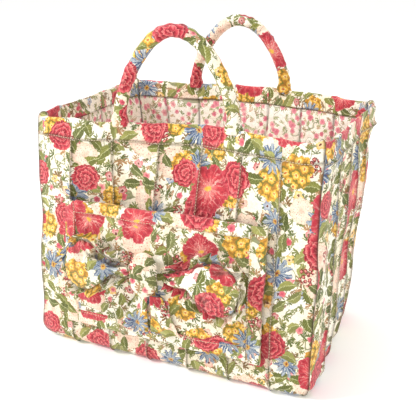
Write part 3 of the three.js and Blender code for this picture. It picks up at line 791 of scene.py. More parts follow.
def unit(vectors):
    """Vectors of length 1."""
    return vectors / np.linalg.norm(vectors, axis=-1)[..., None]


def polyline(points, spacing):
    """Points about spacing apart along a flat line, with the distance run and the unit left normals."""
    length = distance_run(points)[-1]
    at = np.linspace(0, length, max(2, int(length / spacing) + 1))
    line = along_line(points, at)
    way = unit(np.gradient(line, axis=0))
    return line, at, np.stack([way[:, 1], -way[:, 0]], -1)


def spread(points, count):
    """A line's points, thinned to a count that pairs with another line's."""
    fine, _, _ = polyline(points, 0.5)
    return fine[np.linspace(0, len(fine) - 1, count).round().astype(int)]


def arc(centre, radius, start, end, steps=10):
    """Points on an arc, with its angles in degrees."""
    turn = np.radians(np.linspace(start, end, steps))
    return [(centre[0] + radius * math.cos(t), centre[1] + radius * math.sin(t)) for t in turn]


ROLL = RIM_THICKNESS / 2
TUCK = (TUCK_RADIUS, TUCK_RADIUS)
SPACING = 1.9
outer_path = (arc(TUCK, TUCK_RADIUS, 270, 180) + [(0, HEIGHT / 2)]
              + arc((ROLL, HEIGHT - ROLL), ROLL, 180, 0, 12) + [(RIM_THICKNESS, RIM_LINE)])
inner_path = (arc(TUCK, TUCK_RADIUS - WADDED, 270, 180)
              + [(WADDED, RIM_LINE - 1), (RIM_THICKNESS - 0.6, RIM_LINE - 0.6)])
outer_line, outer_run, outer_normal = polyline(outer_path, SPACING)
inner_line = spread(inner_path, len(outer_line))
# Heights up the wall's cloth, so that the print and the seams start where the upright part does.
outer_v = outer_run + TUCK_RADIUS * (1 - math.pi / 2)
RIM_TOP = outer_v[np.argmax(outer_line[:, 1])]
# Where each panel was cut from the print, and the cloth that one seam takes up, which the print misses.
PRINT_OFFSET = {
    "front": (0, 0), "right": (433, 71), "back": (811, 37), "left": (1273, 113), "base": (90, 700)}
TAKEN_UP = 5.0


def wall_lines(side):
    """Where the upright seams lie on a wall: as cut on the long walls, and even on the short ones."""
    length = side_length(side)
    return FRONT_LINES if side in ("front", "back") else length * np.arange(1, 5) / 5


def wall_uv(side, s, v):
    """The place on the printed cloth, in mm, of a point on a wall."""
    seams_passed = np.sum(s[..., None] > wall_lines(side), -1)
    return np.stack([s + TAKEN_UP * seams_passed, v], -1) + PRINT_OFFSET[side]


def fold_back(v):
    """Height up the outer side for a place on the turned-in strip, mirrored about the rim's top."""
    return np.where(v > RIM_TOP, 2 * RIM_TOP - v, v)


# The turned-in strip starts a little past the rim's top, and its wadding lifts it less.
TURNED_IN, FACING_LIFT = RIM_TOP + 6, 0.55


def wall_panel(side):
    """The outer cloth with its wadding, up the wall, over the rim and down inside."""
    length = side_length(side)
    s, v = np.meshgrid(np.linspace(0, length, int(length / SPACING) + 1), outer_v)
    pattern = (s, fold_back(v), length, wall_lines(side), RIM_LINE, seed_of(side))
    end = np.clip((outer_v[-1] - v) / 3, 0, 1)
    rise = quilt(*pattern) * np.where(v > TURNED_IN, FACING_LIFT * (0.4 + 0.6 * end), 1)
    inset, z = outer_line[:, :1], outer_line[:, 1:]
    # On the floor the cloth can sink into its seams but can't puff downwards.
    off_floor = np.clip((z - 1) / 14, 0, 1)
    rise = rise * off_floor + (1 - off_floor) * np.minimum(rise, 0)
    z = np.maximum(z + rise * outer_normal[:, 1:], 0)
    outer = wall_point(side, s, inset + rise * outer_normal[:, :1], z)
    inner = wall_point(side, s, inner_line[:, :1] + 0 * s, inner_line[:, 1:] + 0 * s)
    made = sandwich(f"wall_{side}", slump(outer), slump(inner), wall_uv(side, s, v), PRINTED,
                    seam_shade(*pattern))
    return stands_for(made, "bag", f"outer_{side}", f"wadding_{side}", f"facing_{side}")


walls = {side: wall_panel(side) for side in SIDES}
print("wall panels:", {side: len(w.data.polygons) for side, w in walls.items()})

# %% [markdown]
# ### The lining
#
# The lining is a cream cotton with a small ditsy print. It is quilted with the same seams as the outside,
# because all layers are sewn through at once, but the wadding lifts it less. It runs up under the
# turned-in strip, and its own upright seams stand in the corners.

# %% Lining walls
LINING_IN, LINING_OUT = 4.6, 5.4
NO_RIM_LINE = 900.0
LINING_ROW, LINING_COLUMN = 2.6, 2.4


def lining_path(inset):
    """The lining's section, from the floor's edge up to the turned-in strip."""
    return arc(TUCK, TUCK_RADIUS - inset, 270, 180) + [(inset, RIM_LINE - 0.4)]


def lining_wall(side):
    seen, run, _ = polyline(lining_path(LINING_OUT), LINING_ROW)
    hidden = spread(lining_path(LINING_IN), len(seen))
    length = side_length(side)
    s, v = np.meshgrid(np.linspace(0, length, int(length / LINING_COLUMN) + 1), run)
    pattern = (s, v, length, wall_lines(side), NO_RIM_LINE, seed_of(side) + 50)
    rise = np.clip(0.45 * quilt(*pattern) + 0.9, 0, None) * np.clip((RIM_LINE - seen[:, 1:]) / 8, 0.1, 1)
    upright = np.clip((seen[:, 1:] - LINING_OUT) / 12, 0, 1)
    faces = wall_point(side, s, seen[:, :1] + rise * upright, seen[:, 1:] + rise * (1 - upright))
    backs = wall_point(side, s, hidden[:, :1] + 0 * s, hidden[:, 1:] + 0 * s)
    made = sandwich(f"lining_wall_{side}", slump(faces), slump(backs), wall_uv(side, s, v), LINING,
                    seam_shade(*pattern))
    return stands_for(made, "bag", f"lining_{side}")


linings = {side: lining_wall(side) for side in SIDES}

# %% [markdown]
# ### The base
#
# The base is a separate quilted panel with straight seams from front to back, kept flat by a board inside
# it. Its lining is drawn up a little between the seams.

# %% Base panels
BASE_SPACING, BASE_RINGS = 5.0, 60


def base_outline():
    """The base seam on the plain box, all the way round."""
    loops = []
    for side in SIDES:
        length = side_length(side)
        s = np.linspace(0, length, int(length / BASE_SPACING) + 1)[:-1]
        loops.append(wall_point(side, s, TUCK_RADIUS, 0))
    return np.concatenate(loops)


def base_panel(name, low, high, drawn_in, puffed, material):
    """A flat closed panel: its underside is drawn in at the seams, and its top is puffed between them."""
    lower = base_outline()[None] * np.linspace(0.015, 1, BASE_RINGS)[:, None, None]
    upper = lower[::-1].copy()
    near = np.min(np.abs(lower[..., 0, None] - (FRONT_LINES - FRONT_LINES.mean())), -1)
    lower[..., 2] = low + drawn_in * np.exp(-(near / 2.2) ** 2)
    upper[..., 2] = high + puffed * (1 - np.exp(-near[::-1] / 8))
    both = np.concatenate([lower, upper])
    return tube_mesh(name, slump(both), both[..., :2] + PRINT_OFFSET["base"], material)


base = base_panel("base_outside", 0, WADDED, 1.3, 0, PRINTED)
stands_for(base, "bag", "outer_base", "base_board", "wadding_base")
floor_lining = base_panel("base_lining", LINING_IN, LINING_OUT, 0, 1.8, LINING)
stands_for(floor_lining, "bag", "lining_base")
print("lining and base made")

# %% [markdown]
# ## The patch pocket
#
# The pocket is a single lined cloth, 249 by 154 mm, bound round all its edges with folded strips of the
# print. The strips are sewn down by hand-guided machine, so their free edges waver by half a millimetre and
# pucker at every few stitches. The pocket bags forward at its mouth, and the bow's weight draws soft
# folds down its cloth.

# %% Pocket shapes
POCKET_HALF, POCKET_HEIGHT, POCKET_MIDDLE, POCKET_BOTTOM = 124.5, 154.0, -4.5, 38.0
POCKET_PUFF = 14.0
# How far the pocket's lining, its panel, and the inner and outer faces of its binding stand off the wall.
POCKET_OFF, PANEL_OFF, BINDING_OFF, FACE = 2.2, 3.3, 4.9, 6.6
# How far the binding reaches over the panel at the sides and foot, and at the mouth.
STRIP, MOUTH_STRIP = 15.0, 12.0
BINDING_EDGE = POCKET_HALF - STRIP


def pocket_place(across, up, off):
    """A place on the pocket, in the frame: across and up from the middle of its lower edge, off the wall."""
    across, up, off = np.broadcast_arrays(*(np.asarray(v, float) for v in (across, up, off)))
    x = POCKET_MIDDLE + across
    past = np.maximum(np.abs(x) - (HALF_WIDTH - EDGE_RADIUS), 0)
    front = HALF_DEPTH - EDGE_RADIUS + np.sqrt(EDGE_RADIUS ** 2 - past ** 2)
    u = np.clip(across / POCKET_HALF, -1, 1)
    w = np.clip(up / POCKET_HEIGHT, 0, 1)
    puff = POCKET_PUFF * (1 - u ** 4) * (1 - (1 - w) ** 2)
    return slump(np.stack([x, -(front + puff + off), POCKET_BOTTOM + up], -1))


def panel_folds(across, up):
    """How far the panel's soft folds lift it, in mm, with pulled creases all along its binding."""
    field = np.stack([across, up], -1)
    soft = 1.5 * waves(field, 62, 91, 2) + 0.5 * waves(field, 24, 92, 2)
    top = POCKET_HEIGHT - MOUTH_STRIP
    edge = np.minimum(BINDING_EDGE - np.abs(across), np.minimum(up - STRIP, top - up))
    pull = np.exp(-np.clip(edge, 0, 99) / 6) * np.sin(2 * math.pi * (across + up) / 11) * 0.5
    return (soft + pull) * np.clip(edge / 6, 0, 1) + 0.6


across, up = np.meshgrid(np.linspace(-POCKET_HALF, POCKET_HALF, 130), np.linspace(0, POCKET_HEIGHT, 80))
pocket_uv = np.stack([across + 590, up + 905], -1)
folds = panel_folds(across, up)
panel = sandwich("pocket_front", pocket_place(across, up, PANEL_OFF + 1.0 + folds),
                 pocket_place(across, up, PANEL_OFF + folds), pocket_uv, PRINTED)
stands_for(panel, "bag", "pocket_panel")
folds = 0.6 * folds - 0.3
panel_lining = sandwich("pocket_back", pocket_place(across, up, POCKET_OFF + 0.8 + folds),
                        pocket_place(across, up, POCKET_OFF + folds), pocket_uv, LINING)
stands_for(panel_lining, "bag", "pocket_lining")


# %% Bindings
def binding(name, outer, inner, place, along, seed, node, offset):
    """A folded strip: outer and inner are its section, and place gives a point from section and length."""
    line, run, normal = polyline(rounded(outer, 1.4), 0.9)
    hidden = spread(inner, len(line))
    t, r = np.meshgrid(along, run)
    field = np.stack([t, r], -1)
    middle = np.sin(math.pi * r / run[-1])
    swell = 0.5 * middle + 0.35 * waves(field, 14, seed, 2) * middle
    swell += 0.35 * np.sin(2 * math.pi * t / 9 + 3 * waves(field, 40, seed + 1)) * (1 - middle)
    a = line[:, :1] + swell * normal[:, :1]
    b = line[:, 1:] + swell * normal[:, 1:]
    sway = 0.7 * waves(np.stack([t, 0 * t], -1), 60, seed + 2)
    seen, back = place(a, b, t, sway), place(hidden[:, :1], hidden[:, 1:], t, sway)
    uv = np.stack([t, r], -1) + offset
    stands_for(sandwich(name, seen, back, uv, PRINTED), "bag", node)


def rounded(points, radius, steps=6):
    """A polyline with its inner corners rounded off."""
    points = [np.array(p, float) for p in points]
    out = [points[0]]
    for before, here, after in zip(points, points[1:], points[2:]):
        a = here + (before - here) / np.linalg.norm(before - here) * radius
        b = here + (after - here) / np.linalg.norm(after - here) * radius
        for k in np.linspace(0, 1, steps):
            out.append((1 - k) ** 2 * a + 2 * k * (1 - k) * here + k * k * b)
    return out + [points[-1]]


# The strip keeps clear of the wall and the cloth's edge, and its fold stands out beyond that edge.
CLEAR, FOLDED = 0.6, 1.8
mouth_low, mouth_top = POCKET_HEIGHT - MOUTH_STRIP, POCKET_HEIGHT + FOLDED
across_pocket = np.arange(-BINDING_EDGE, BINDING_EDGE + 1, 1.5)
binding("pocket_mouth_binding",
        [(BINDING_OFF, mouth_low), (FACE, mouth_low), (FACE, mouth_top), (CLEAR, mouth_top),
         (CLEAR, mouth_low)],
        [(BINDING_OFF, mouth_low), (BINDING_OFF, POCKET_HEIGHT + CLEAR), (CLEAR + 1, POCKET_HEIGHT + CLEAR),
         (CLEAR + 1, mouth_low)],
        lambda off, up, t, sway: pocket_place(t, up + sway, off), across_pocket, 101,
        "pocket_top_binding", (60, 1510))
binding("pocket_foot_binding",
        [(CLEAR, -FOLDED), (FACE, -FOLDED), (FACE, STRIP), (BINDING_OFF, STRIP)],
        [(CLEAR, -CLEAR), (BINDING_OFF, -CLEAR), (BINDING_OFF, STRIP)],
        lambda off, up, t, sway: pocket_place(t, up + sway, off), across_pocket, 111,
        "pocket_bottom_binding", (310, 1710))
for hand, label in ((-1, "left"), (1, "right")):
    edge, cloth_edge = POCKET_HALF + FOLDED, POCKET_HALF + CLEAR
    binding(f"pocket_{label}_edge_binding",
            [(edge, CLEAR), (edge, FACE), (BINDING_EDGE, FACE), (BINDING_EDGE, BINDING_OFF)],
            [(cloth_edge, CLEAR), (cloth_edge, BINDING_OFF), (BINDING_EDGE, BINDING_OFF)],
            lambda out, off, t, sway: pocket_place(hand * (out + sway), t, off),
            np.arange(-FOLDED, POCKET_HEIGHT + FOLDED + 0.7, 1.5), 121 + hand,
            f"pocket_{label}_binding", (700 + 90 * hand, 1910))
print("pocket and bindings made")

# %% [markdown]
# ## The handles
#
# Each handle is a tube of the print pulled over a cotton rope. Where the tube bends, its inner side gathers
# into fine cross wrinkles, and one lengthways seam runs along the underside. Its two ends are
# flattened and sewn into the rim, where they widen into a small cuff.

# %% Handles
HANDLE_RADIUS = 7.5
HANDLE_LEVEL = HEIGHT + 0.3 + HANDLE_RADIUS
GIRTH = 2 * math.pi * HANDLE_RADIUS


def handle_foot(side, x, z, dents):
    """A place in mm in the middle of a rim's thickness."""
    y = SIDES[side][1][1] * (SIDES[side][3] - RIM_THICKNESS / 2)
    return slump(np.array([x, y, z]), dents) * 1000


def handle_path(side, spacing, middle, rise):
    """The middle of the tube in mm: up out of the rim, over the arch and down again."""
    across = [middle - spacing / 2, middle + spacing / 2]
    ends = [handle_foot(side, x, HEIGHT, 0) for x in across]
    feet = [handle_foot(side, x, HEIGHT - 7, DENTS) for x in across]
    turn = np.linspace(0, math.pi, 200)
    arch = ends[0] + (ends[1] - ends[0]) * ((1 - np.cos(turn)) / 2)[:, None]
    arch[:, 2] = HANDLE_LEVEL + rise * np.sin(turn) ** 1.5
    climb = np.linspace(0, 0.9, 5)[:, None]
    legs = [foot + (end - foot) * climb for foot, end in zip(feet, (arch[0], arch[-1]))]
    path = np.concatenate([legs[0], arch, legs[1][::-1]])
    length = distance_run(path)[-1]
    at = np.linspace(0, length, int(length / 1.5))
    path = along_line(path, at)
    for _ in range(6):
        path[1:-1] = (path[:-2] + 2 * path[1:-1] + path[2:]) / 4
    return path, at, unit(np.cross(ends[1] - ends[0], [0, 0, 1]))


def wrinkled(length, angle, from_end, seed):
    """The tube's radius in mm: slack cloth, fine wrinkles underneath, one seam, and pleats at the cuff."""
    place = np.stack([length, HANDLE_RADIUS * np.cos(angle), HANDLE_RADIUS * np.sin(angle)], -1)
    underneath = (1 + np.cos(angle)) / 2
    radius = HANDLE_RADIUS + 0.35 * waves(place, 26, seed, 2)
    radius += (0.18 + 0.3 * underneath) * waves(place * (1, 0.35, 0.35), 7, seed + 1, 1)
    radius -= 0.8 * np.exp(-((angle - 0.5) / 0.16) ** 2)
    radius += 0.35 * np.exp(-((angle - 0.85) / 0.14) ** 2)
    cuff = np.exp(-((from_end - 6) / 6.5) ** 2)
    return radius + cuff * 0.5 * np.sin(7 * angle + 2.1), cuff


def handle(name, spacing, middle, rise, seed):
    """One handle. spacing lies between its feet, middle is where it stands, and rise is its arch's height."""
    path, at, flat = handle_path(name, spacing, middle, rise)
    inward = unit(np.cross(flat, unit(np.gradient(path, axis=0))))
    angle, length = np.meshgrid(np.linspace(0, 2 * math.pi, 41)[:-1], at)
    radius, cuff = wrinkled(length, angle, np.minimum(length, at[-1] - length), seed)
    rings = (path[:, None] + (radius * (1 + 0.3 * cuff) * np.cos(angle))[..., None] * inward[:, None]
             + (radius * (1 - 0.14 * cuff) * np.sin(angle))[..., None] * flat)
    uv = np.stack([HANDLE_RADIUS * angle + 1390 + 3 * seed, length + 40], -1)
    made = tube_mesh(f"{name}_handle", rings / 1000, uv, PRINTED)
    run_on(made.data)
    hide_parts(*(f"{name}_handle_{part}" for part in ("sleeve", "core", "tab_left", "tab_right")))
    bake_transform(made)
    return made


def run_on(mesh):
    """Lets the print of a tube run on past its seam instead of rushing back to its start."""
    layer = mesh.uv_layers["cloth"]
    uv = np.empty(2 * len(mesh.loops), np.float32)
    layer.data.foreach_get("uv", uv)
    around_tube = uv[::2]
    for face in mesh.polygons:
        loops = slice(face.loop_start, face.loop_start + face.loop_total)
        behind = around_tube[loops] < around_tube[loops].max() - GIRTH / 2000
        around_tube[loops] += behind * GIRTH / 1000
    layer.data.foreach_set("uv", uv)


handles = [handle("front", 136.4, -2.4, 94.0, 140), handle("back", 132.0, -22.0, 79.0, 150)]
print("handles made")

# %% [markdown]
# ## The bow
#
# The bow is sewn from the same print: two stuffed-looking loops, a wrapped knot and two short tails. Each
# loop is a folded tube of cloth that is gathered hard where the knot binds it, so deep folds fan out from
# there and die away towards its round end. A gathered frill runs round each loop's edge. The loops are
# inflated here by a short cloth simulation, which gives them the slack, uneven fullness of padded fabric,
# and the gathers are pressed in afterwards.

# %% Bow measures
KNOT_ACROSS, KNOT_UP, BOW_OFF = -8.0, 88.0, 6.4
LOOP_START, LOOP_END = 26.5, 7.0
LOOP_LENGTH = {-1: 78.0, 1: 88.0}
LOOP_SLACK = 0.9
HANDS = ((-1, "left"), (1, "right"))


def smooth(x, low, high):
    t = np.clip((x - low) / (high - low), 0, 1)
    return t * t * (3 - 2 * t)


def loop_size(share):
    """Half height and depth of a loop at a share of its length."""
    return (13 + 24 * smooth(share, 0.25, 0.8), 7 + 6 * smooth(share, 0, 0.6))


def ball(steps_round, steps_down):
    """Unit ball points in rows from one pole to the other, poles left out."""
    down = np.linspace(0, math.pi, steps_down + 2)[1:-1][:, None]
    turn = np.linspace(0, 2 * math.pi, steps_round + 1)[:-1][None, :]
    return np.stack([np.cos(down) + 0 * turn, np.sin(down) * np.cos(turn), np.sin(down) * np.sin(turn)], -1)


def loop_points(hand):
    """A loop before it is filled, a tenth slimmer than it will be."""
    p = ball(40, 40)
    share = (1 - p[..., 0]) / 2
    round_ = np.sqrt(np.clip(1 - p[..., 0] ** 2, 1e-9, 1))
    blunt = np.minimum(1, round_ ** 0.6) / round_
    tall, deep = loop_size(share)
    along = share * (LOOP_LENGTH[hand] + LOOP_END) - LOOP_END
    up = KNOT_UP + LOOP_SLACK * p[..., 2] * blunt * tall - 6 * share ** 2
    off = BOW_OFF + deep * (1 - LOOP_SLACK * p[..., 1] * blunt)
    return pocket_place(KNOT_ACROSS + hand * (LOOP_START + along), up, off)


# %% Inflating the loops
FRAMES = 18


def inflate(made):
    """Puffs a closed piece up as cloth under a little air pressure, and leaves a plain mesh."""
    before = points_of(made.data)
    remesh = made.modifiers.new("even_mesh", "REMESH")
    remesh.mode = "VOXEL"
    remesh.voxel_size = 0.0042
    cloth = made.modifiers.new("cloth", "CLOTH")
    cloth.settings.quality = 4
    cloth.settings.mass = 0.15
    cloth.settings.tension_stiffness = 12
    cloth.settings.bending_stiffness = 0.4
    cloth.settings.use_pressure = True
    cloth.settings.uniform_pressure_force = 3.5
    cloth.settings.effector_weights.gravity = 0
    cloth.point_cache.frame_end = FRAMES
    for frame_number in range(1, FRAMES + 1):
        scene.frame_set(frame_number)
    settle(made)
    grown = np.clip(points_of(made.data), before.min(0) - 0.002, before.max(0) + 0.002)
    made.data.vertices.foreach_set("co", grown.ravel())
    scene.frame_set(1)


def settle(made):
    """Turns what the modifiers make into the object's own mesh, and removes them."""
    shown = made.evaluated_get(bpy.context.evaluated_depsgraph_get())
    final = bpy.data.meshes.new_from_object(shown)
    made.modifiers.clear()
    made.data = final


def refine(made):
    """Splits the faces finely enough for the folds, and rounds them."""
    fine = made.modifiers.new("fine", "SUBSURF")
    fine.levels = fine.render_levels = 2
    settle(made)


def press_folds(made, height):
    """Moves each point along its normal by height, in mm, and paints shade into the valleys that this leaves.
    """
    mesh = made.data
    at = points_of(mesh)
    normals = np.array([v.normal for v in mesh.vertices])
    rise = height(at)
    mesh.vertices.foreach_set("co", (at + normals * rise[:, None] / 1000).ravel())
    mesh.update()
    # Painted shade: the deeper a fold valley, the darker its cloth.
    shade_seams(mesh, np.clip((-rise - 0.6) / 3.6, 0, 0.95))


def flat_uv(made, offset):
    """Lays the cloth of a small puffed piece, read off the front as if it were pressed flat."""
    at = points_of(made.data) * 1000
    depth = at[:, 1] - at[:, 1].mean()
    for old in list(made.data.uv_layers):
        made.data.uv_layers.remove(old)
    lay_cloth(made.data, np.stack([at[:, 0] + 0.35 * depth, at[:, 2] + 0.55 * depth], -1) + offset)


def gathers(hand, seed):
    """Folds that fan out from the knot over a loop."""
    neck = pocket_place(KNOT_ACROSS + hand * 14, KNOT_UP, BOW_OFF + 9)

    def height(at):
        away = (at - neck) * 1000
        along, up = hand * away[:, 0], away[:, 2]
        fan = np.arctan2(up, np.abs(along) + 8)
        fade = np.exp(-np.abs(along) / 44)
        bend = waves(away, 60, seed)
        folds = np.sin(13 * fan + 2.2 * bend) * 3.8 * fade
        creases = -4.0 * np.exp(-((np.sin(5 * fan + 1.3 * bend + seed)) / 0.22) ** 2) * (0.3 + fade)
        return folds + creases + 2.3 * waves(away, 40, seed + 1) + 0.9 * waves(away, 17, seed + 2)

    return height


for hand, label in HANDS:
    points = loop_points(hand)
    made = tube_mesh(f"bow_{label}_puff", points, points[..., :2], PRINTED)
    inflate(made)
    refine(made)
    press_folds(made, gathers(hand, 170 + 5 * hand))
    flat_uv(made, (300 + 400 * hand, 2300))
    stands_for(made, f"bow_{label}_loop", f"bow_{label}_loop")

# %% Knot
KNOT_HALF = (27.0, 18.0, 13.5)
up, across, off = np.moveaxis(ball(64, 60) * KNOT_HALF, -1, 0)
field = np.stack([across, up], -1)
flute = 1 + 0.075 * np.sin(across * 1.05 + 0.7 * waves(field, 30, 7)) + 0.03 * waves(field, 9, 8)
waist = 1 - 0.12 * np.exp(-(up / 9) ** 2)
seen = pocket_place(KNOT_ACROSS + across * waist, KNOT_UP + up, BOW_OFF + KNOT_HALF[2] - off * flute * waist)
knot = tube_mesh("bow_wrapped_knot", seen, field, PRINTED)
flat_uv(knot, (905, 2610))
stands_for(knot, "bag", "bow_knot")


# %% [markdown]
# ### Free cloth edges
#
# The tails and the frills are single layers of folded cloth with soft free edges. Each is a thin sheet
# whose thickness runs out to a rounded edge, and its outer edge is longer than its seam, so it waves.

# %% Thin sheets
def thin_sheet(name, place, across, along, thickness, uv, body, shade=None):
    """A sheet with rounded edges from place(across, along) in metres, thickness mm thick."""
    a, b = np.meshgrid(across, along)
    middle = place(a, b)
    normal = unit(np.cross(np.gradient(middle, axis=1), np.gradient(middle, axis=0)))
    rows, columns = a.shape
    i, j = np.meshgrid(np.arange(rows), np.arange(columns), indexing="ij")
    edge = np.minimum(np.minimum(i, rows - 1 - i), np.minimum(j, columns - 1 - j))
    half = thickness / 2000 * np.sqrt(np.clip((edge + 0.15) / 2.2, 0, 1))[..., None]
    dark = shade(a, b) if shade else None
    made = sandwich(name, middle + normal * half, middle - normal * half, uv(a, b), PRINTED,
                    dark)
    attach(made, body)
    return made


# %% Frills
FRILL_RUN, FRILL_WAVE, FRILL_WRAP = 250.0, 19.0, 0.86


def frill(label, hand):
    """A gathered strip round a loop's edge, from the top of its neck round to the bottom."""
    def rippled(width, t):
        ripple = waves(np.stack([t * FRILL_RUN, width * 0.6], -1), 24, 190 + hand, 2)
        return ripple, np.sin(2 * math.pi * t * FRILL_RUN / FRILL_WAVE + 2.4 * ripple)

    def place(width, t):
        turn = (t - 0.5) * 2 * math.pi * FRILL_WRAP
        share, rim = 0.5 + 0.5 * np.cos(turn), np.sin(turn)
        tall, deep = loop_size(share)
        ripple, wave = rippled(width, t)
        out = width + 0.1 * ripple * width
        grow_up = 1.15 * out * rim / (np.abs(rim) + np.abs(np.cos(turn)) + 0.2)
        grow_along = 0.55 * out * np.clip(np.cos(turn), -0.2, 1)
        along = share * (LOOP_LENGTH[hand] + LOOP_END) - LOOP_END - 2
        up = KNOT_UP + 0.94 * tall * np.abs(rim) ** 0.6 * np.sign(rim) - 6 * share ** 2 + grow_up
        off = BOW_OFF + 0.95 * deep + 7.5 * smooth(width, -2, 14) * wave + 0.2 * width
        return pocket_place(KNOT_ACROSS + hand * (LOOP_START + along + grow_along), up,
                            np.maximum(off, BOW_OFF + 0.6))

    # Painted shade: dark along the frill's root where it tucks under the loop, and in the troughs of its
    # waves.
    def valley(width, t):
        root = np.exp(-(np.abs(width + 0.5) / 2.5) ** 2)
        dip = np.clip(-rippled(width, t)[1], 0, 1)
        return np.maximum(0.85 * root, 0.6 * dip * (1 - smooth(width, 6, 14)))

    return thin_sheet(f"bow_{label}_frill", place, np.linspace(-4, 12.5, 15), np.linspace(0, 1, 330), 0.9,
                      lambda a, b: np.stack([b * 330 + 200 + 300 * hand, a + 2900], -1),
                      f"bow_{label}_loop", valley)


frills = {label: frill(label, hand) for hand, label in HANDS}

# %% Tails
TAIL_TOP, TAIL_START, TAIL_LENGTH = 59.5, 1.0, 50.0


def tail(label, hand):
    """A short tail that widens from the knot and hangs in soft waves. It starts just below its hinge."""
    def place(share, down):
        part = down / TAIL_LENGTH
        wide = share * (14 + 23 * part)
        swing = 2.6 * part * np.sin(2 * math.pi * share * 1.6 + 1.1 + hand) * (0.4 + share)
        hem = 2.4 * waves(np.stack([share * 40 * hand, 0 * down], -1), 26, 201 + hand) * part
        lift = 3.4 + swing + 1.1 * waves(np.stack([wide, down], -1), 26, 205 + hand)
        return pocket_place(KNOT_ACROSS + hand * (2 + wide), TAIL_TOP - down + hem,
                            BOW_OFF + np.maximum(lift, 0.7))

    made = thin_sheet(f"bow_{label}_ribbon", place, np.linspace(0, 1, 40),
                      np.linspace(TAIL_START, TAIL_LENGTH, 52), 1.4,
                      lambda a, b: np.stack([a * 30 + 70 + 200 * hand, b + 3100], -1), f"bow_{label}_tail")
    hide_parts(f"bow_{label}_tail")
    return made


tails = {label: tail(label, hand) for hand, label in HANDS}
print("bow made")

# %% [markdown]
# ## Stitches
#
# The quilting seams are straight lockstitch, a little over 3 mm to the stitch, in a cream thread that has
# sunk into the cloth. One short thread is made once and set along every seam by a node tree, which takes
# its pitch and size as inputs, so all the seams match.

# %% Stitch tree
# Spun cotton thread: matt, with a trace of sheen, and slightly uneven in tone along its length.
THREAD, thread_tree, thread_shader = new_material(
    "cream_sewing_thread", {"Roughness": 0.6, "Sheen Weight": 0.15})
thread_place = add(thread_tree, "ShaderNodeTexCoord").outputs["Object"]
spun = add(thread_tree, NOISE, {"Vector": thread_place, "Scale": 900.0})
shades = add(thread_tree, RANGE, [spun, 0.3, 0.7, 0.85, 1.05])
tone = add(thread_tree, "ShaderNodeHueSaturation", {"Color": to_linear("D9C7A6"), "Value": shades})
thread_tree.links.new(tone.outputs[0], thread_shader.inputs["Base Color"])


# Lockstitch in sewing thread, in metres.
STITCH = {"Pitch": 0.0033, "Stitch length": 0.0026, "Thread radius": 0.00038}


def stitch_tree():
    """Sets one thread bead after another along a curve."""
    tree = bpy.data.node_groups.new("stitches", "GeometryNodeTree")
    for way in ("INPUT", "OUTPUT"):
        tree.interface.new_socket("Geometry", in_out=way, socket_type="NodeSocketGeometry")
    sockets = {}
    for label in STITCH:
        made = tree.interface.new_socket(label, in_out="INPUT", socket_type="NodeSocketFloat")
        sockets[label] = made.identifier
    have = add(tree, "NodeGroupInput").outputs
    spots = add(tree, "GeometryNodeCurveToPoints", {"Curve": have["Geometry"], "Length": have["Pitch"]},
                mode="LENGTH")
    bead = add(tree, "GeometryNodeMeshUVSphere", {"Segments": 6, "Rings": 4, "Radius": 1.0})
    half = add(tree, MATH, [have["Stitch length"], 0.5], operation="MULTIPLY")
    size = add(tree, "ShaderNodeCombineXYZ", [have["Thread radius"], have["Thread radius"], half])
    thread = add(tree, "GeometryNodeTransform", {"Geometry": bead.outputs["Mesh"], "Scale": size})
    placed = add(tree, "GeometryNodeInstanceOnPoints", {
        "Points": spots.outputs["Points"], "Instance": thread, "Rotation": spots.outputs["Rotation"]})
    real = add(tree, "GeometryNodeRealizeInstances", [placed])
    done = add(tree, "GeometryNodeSetMaterial", {"Geometry": real, "Material": THREAD})
    add(tree, "NodeGroupOutput", [done])
    return tree, sockets


STITCHES, STITCH_SOCKETS = stitch_tree()


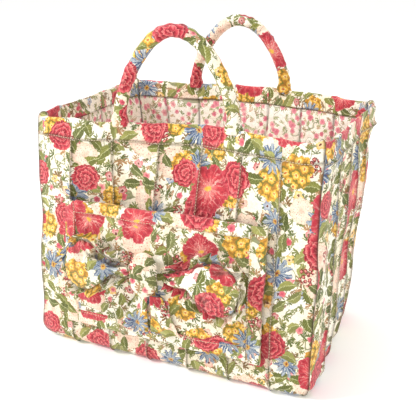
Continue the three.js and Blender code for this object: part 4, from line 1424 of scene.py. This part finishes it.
def sew(name, paths):
    """Stitches along paths, each an array of points in metres, as one plain mesh on the bag."""
    curve = bpy.data.curves.new(name, "CURVE")
    curve.dimensions = "3D"
    for path in paths:
        line = curve.splines.new("POLY")
        line.points.add(len(path) - 1)
        line.points.foreach_set("co", np.c_[path, np.ones(len(path))].ravel())
    guide = bpy.data.objects.new(name + "_guide", curve)
    scene.collection.objects.link(guide)
    nodes = guide.modifiers.new("stitches", "NODES")
    nodes.node_group = STITCHES
    for label, value in STITCH.items():
        nodes[STITCH_SOCKETS[label]] = value
    shown = guide.evaluated_get(bpy.context.evaluated_depsgraph_get())
    mesh = bpy.data.meshes.new_from_object(shown)
    bpy.data.objects.remove(guide)
    mesh.polygons.foreach_set("use_smooth", [True] * len(mesh.polygons))
    made = bpy.data.objects.new(name, mesh)
    scene.collection.objects.link(made)
    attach(made, "bag")


# %% Sew the walls
def on_wall(side, s, v, proud):
    """A place on a quilted wall's outer face, proud mm above its cloth."""
    rise = quilt(s, fold_back(v), side_length(side), wall_lines(side), RIM_LINE, seed_of(side))
    rise = rise * np.where(v > TURNED_IN, FACING_LIFT, 1) + proud
    x, z = (np.interp(v, outer_v, outer_line[:, i]) for i in (0, 1))
    nx, nz = (np.interp(v, outer_v, outer_normal[:, i]) for i in (0, 1))
    return slump(wall_point(side, s, x + rise * nx, z + rise * nz))


def quilting_paths(side):
    """The seams of one wall: the upright ones, the one below the rim, and the turned-in strip's own."""
    v = np.arange(14, RIM_LINE - 2, STEP)
    paths = []
    for line in wall_lines(side):
        paths.append(on_wall(side, line - seam_drift(np.stack([line + 0 * v, v], -1), seed_of(side)), v, 0.3))
    s = np.arange(2, side_length(side) - 2, STEP)
    sway = rim_drift(np.stack([s, RIM_LINE + 0 * s], -1), seed_of(side))
    paths.append(on_wall(side, s, RIM_LINE - sway, 0.3))
    paths.append(on_wall(side, s, outer_v[-1] - 2.5 + 0 * s, 0.35))
    return paths


STEP = 1.6
for side in SIDES:
    sew(f"quilting_stitches_{side}", quilting_paths(side))

# %% Sew the pocket
FROM_EDGE = 1.4
sewn_at = FACE + 0.5
across = np.arange(-BINDING_EDGE, BINDING_EDGE, 1.5)
heights = (POCKET_HEIGHT - MOUTH_STRIP + FROM_EDGE, STRIP - FROM_EDGE)
pocket_seams = [pocket_place(across, up, sewn_at) for up in heights]
up = np.arange(0, POCKET_HEIGHT, 1.5)
pocket_seams += [pocket_place(hand * (BINDING_EDGE + FROM_EDGE), up, sewn_at) for hand, _ in HANDS]
sew("pocket_binding_stitches", pocket_seams)
print("seams sewn")

# %% [markdown]
# ## What each soft piece is
#
# Every sheet is declared with the size it was cut to, and every stuffed piece with how full it is.

for side, wall in walls.items():
    length = side_length(side) / 1000
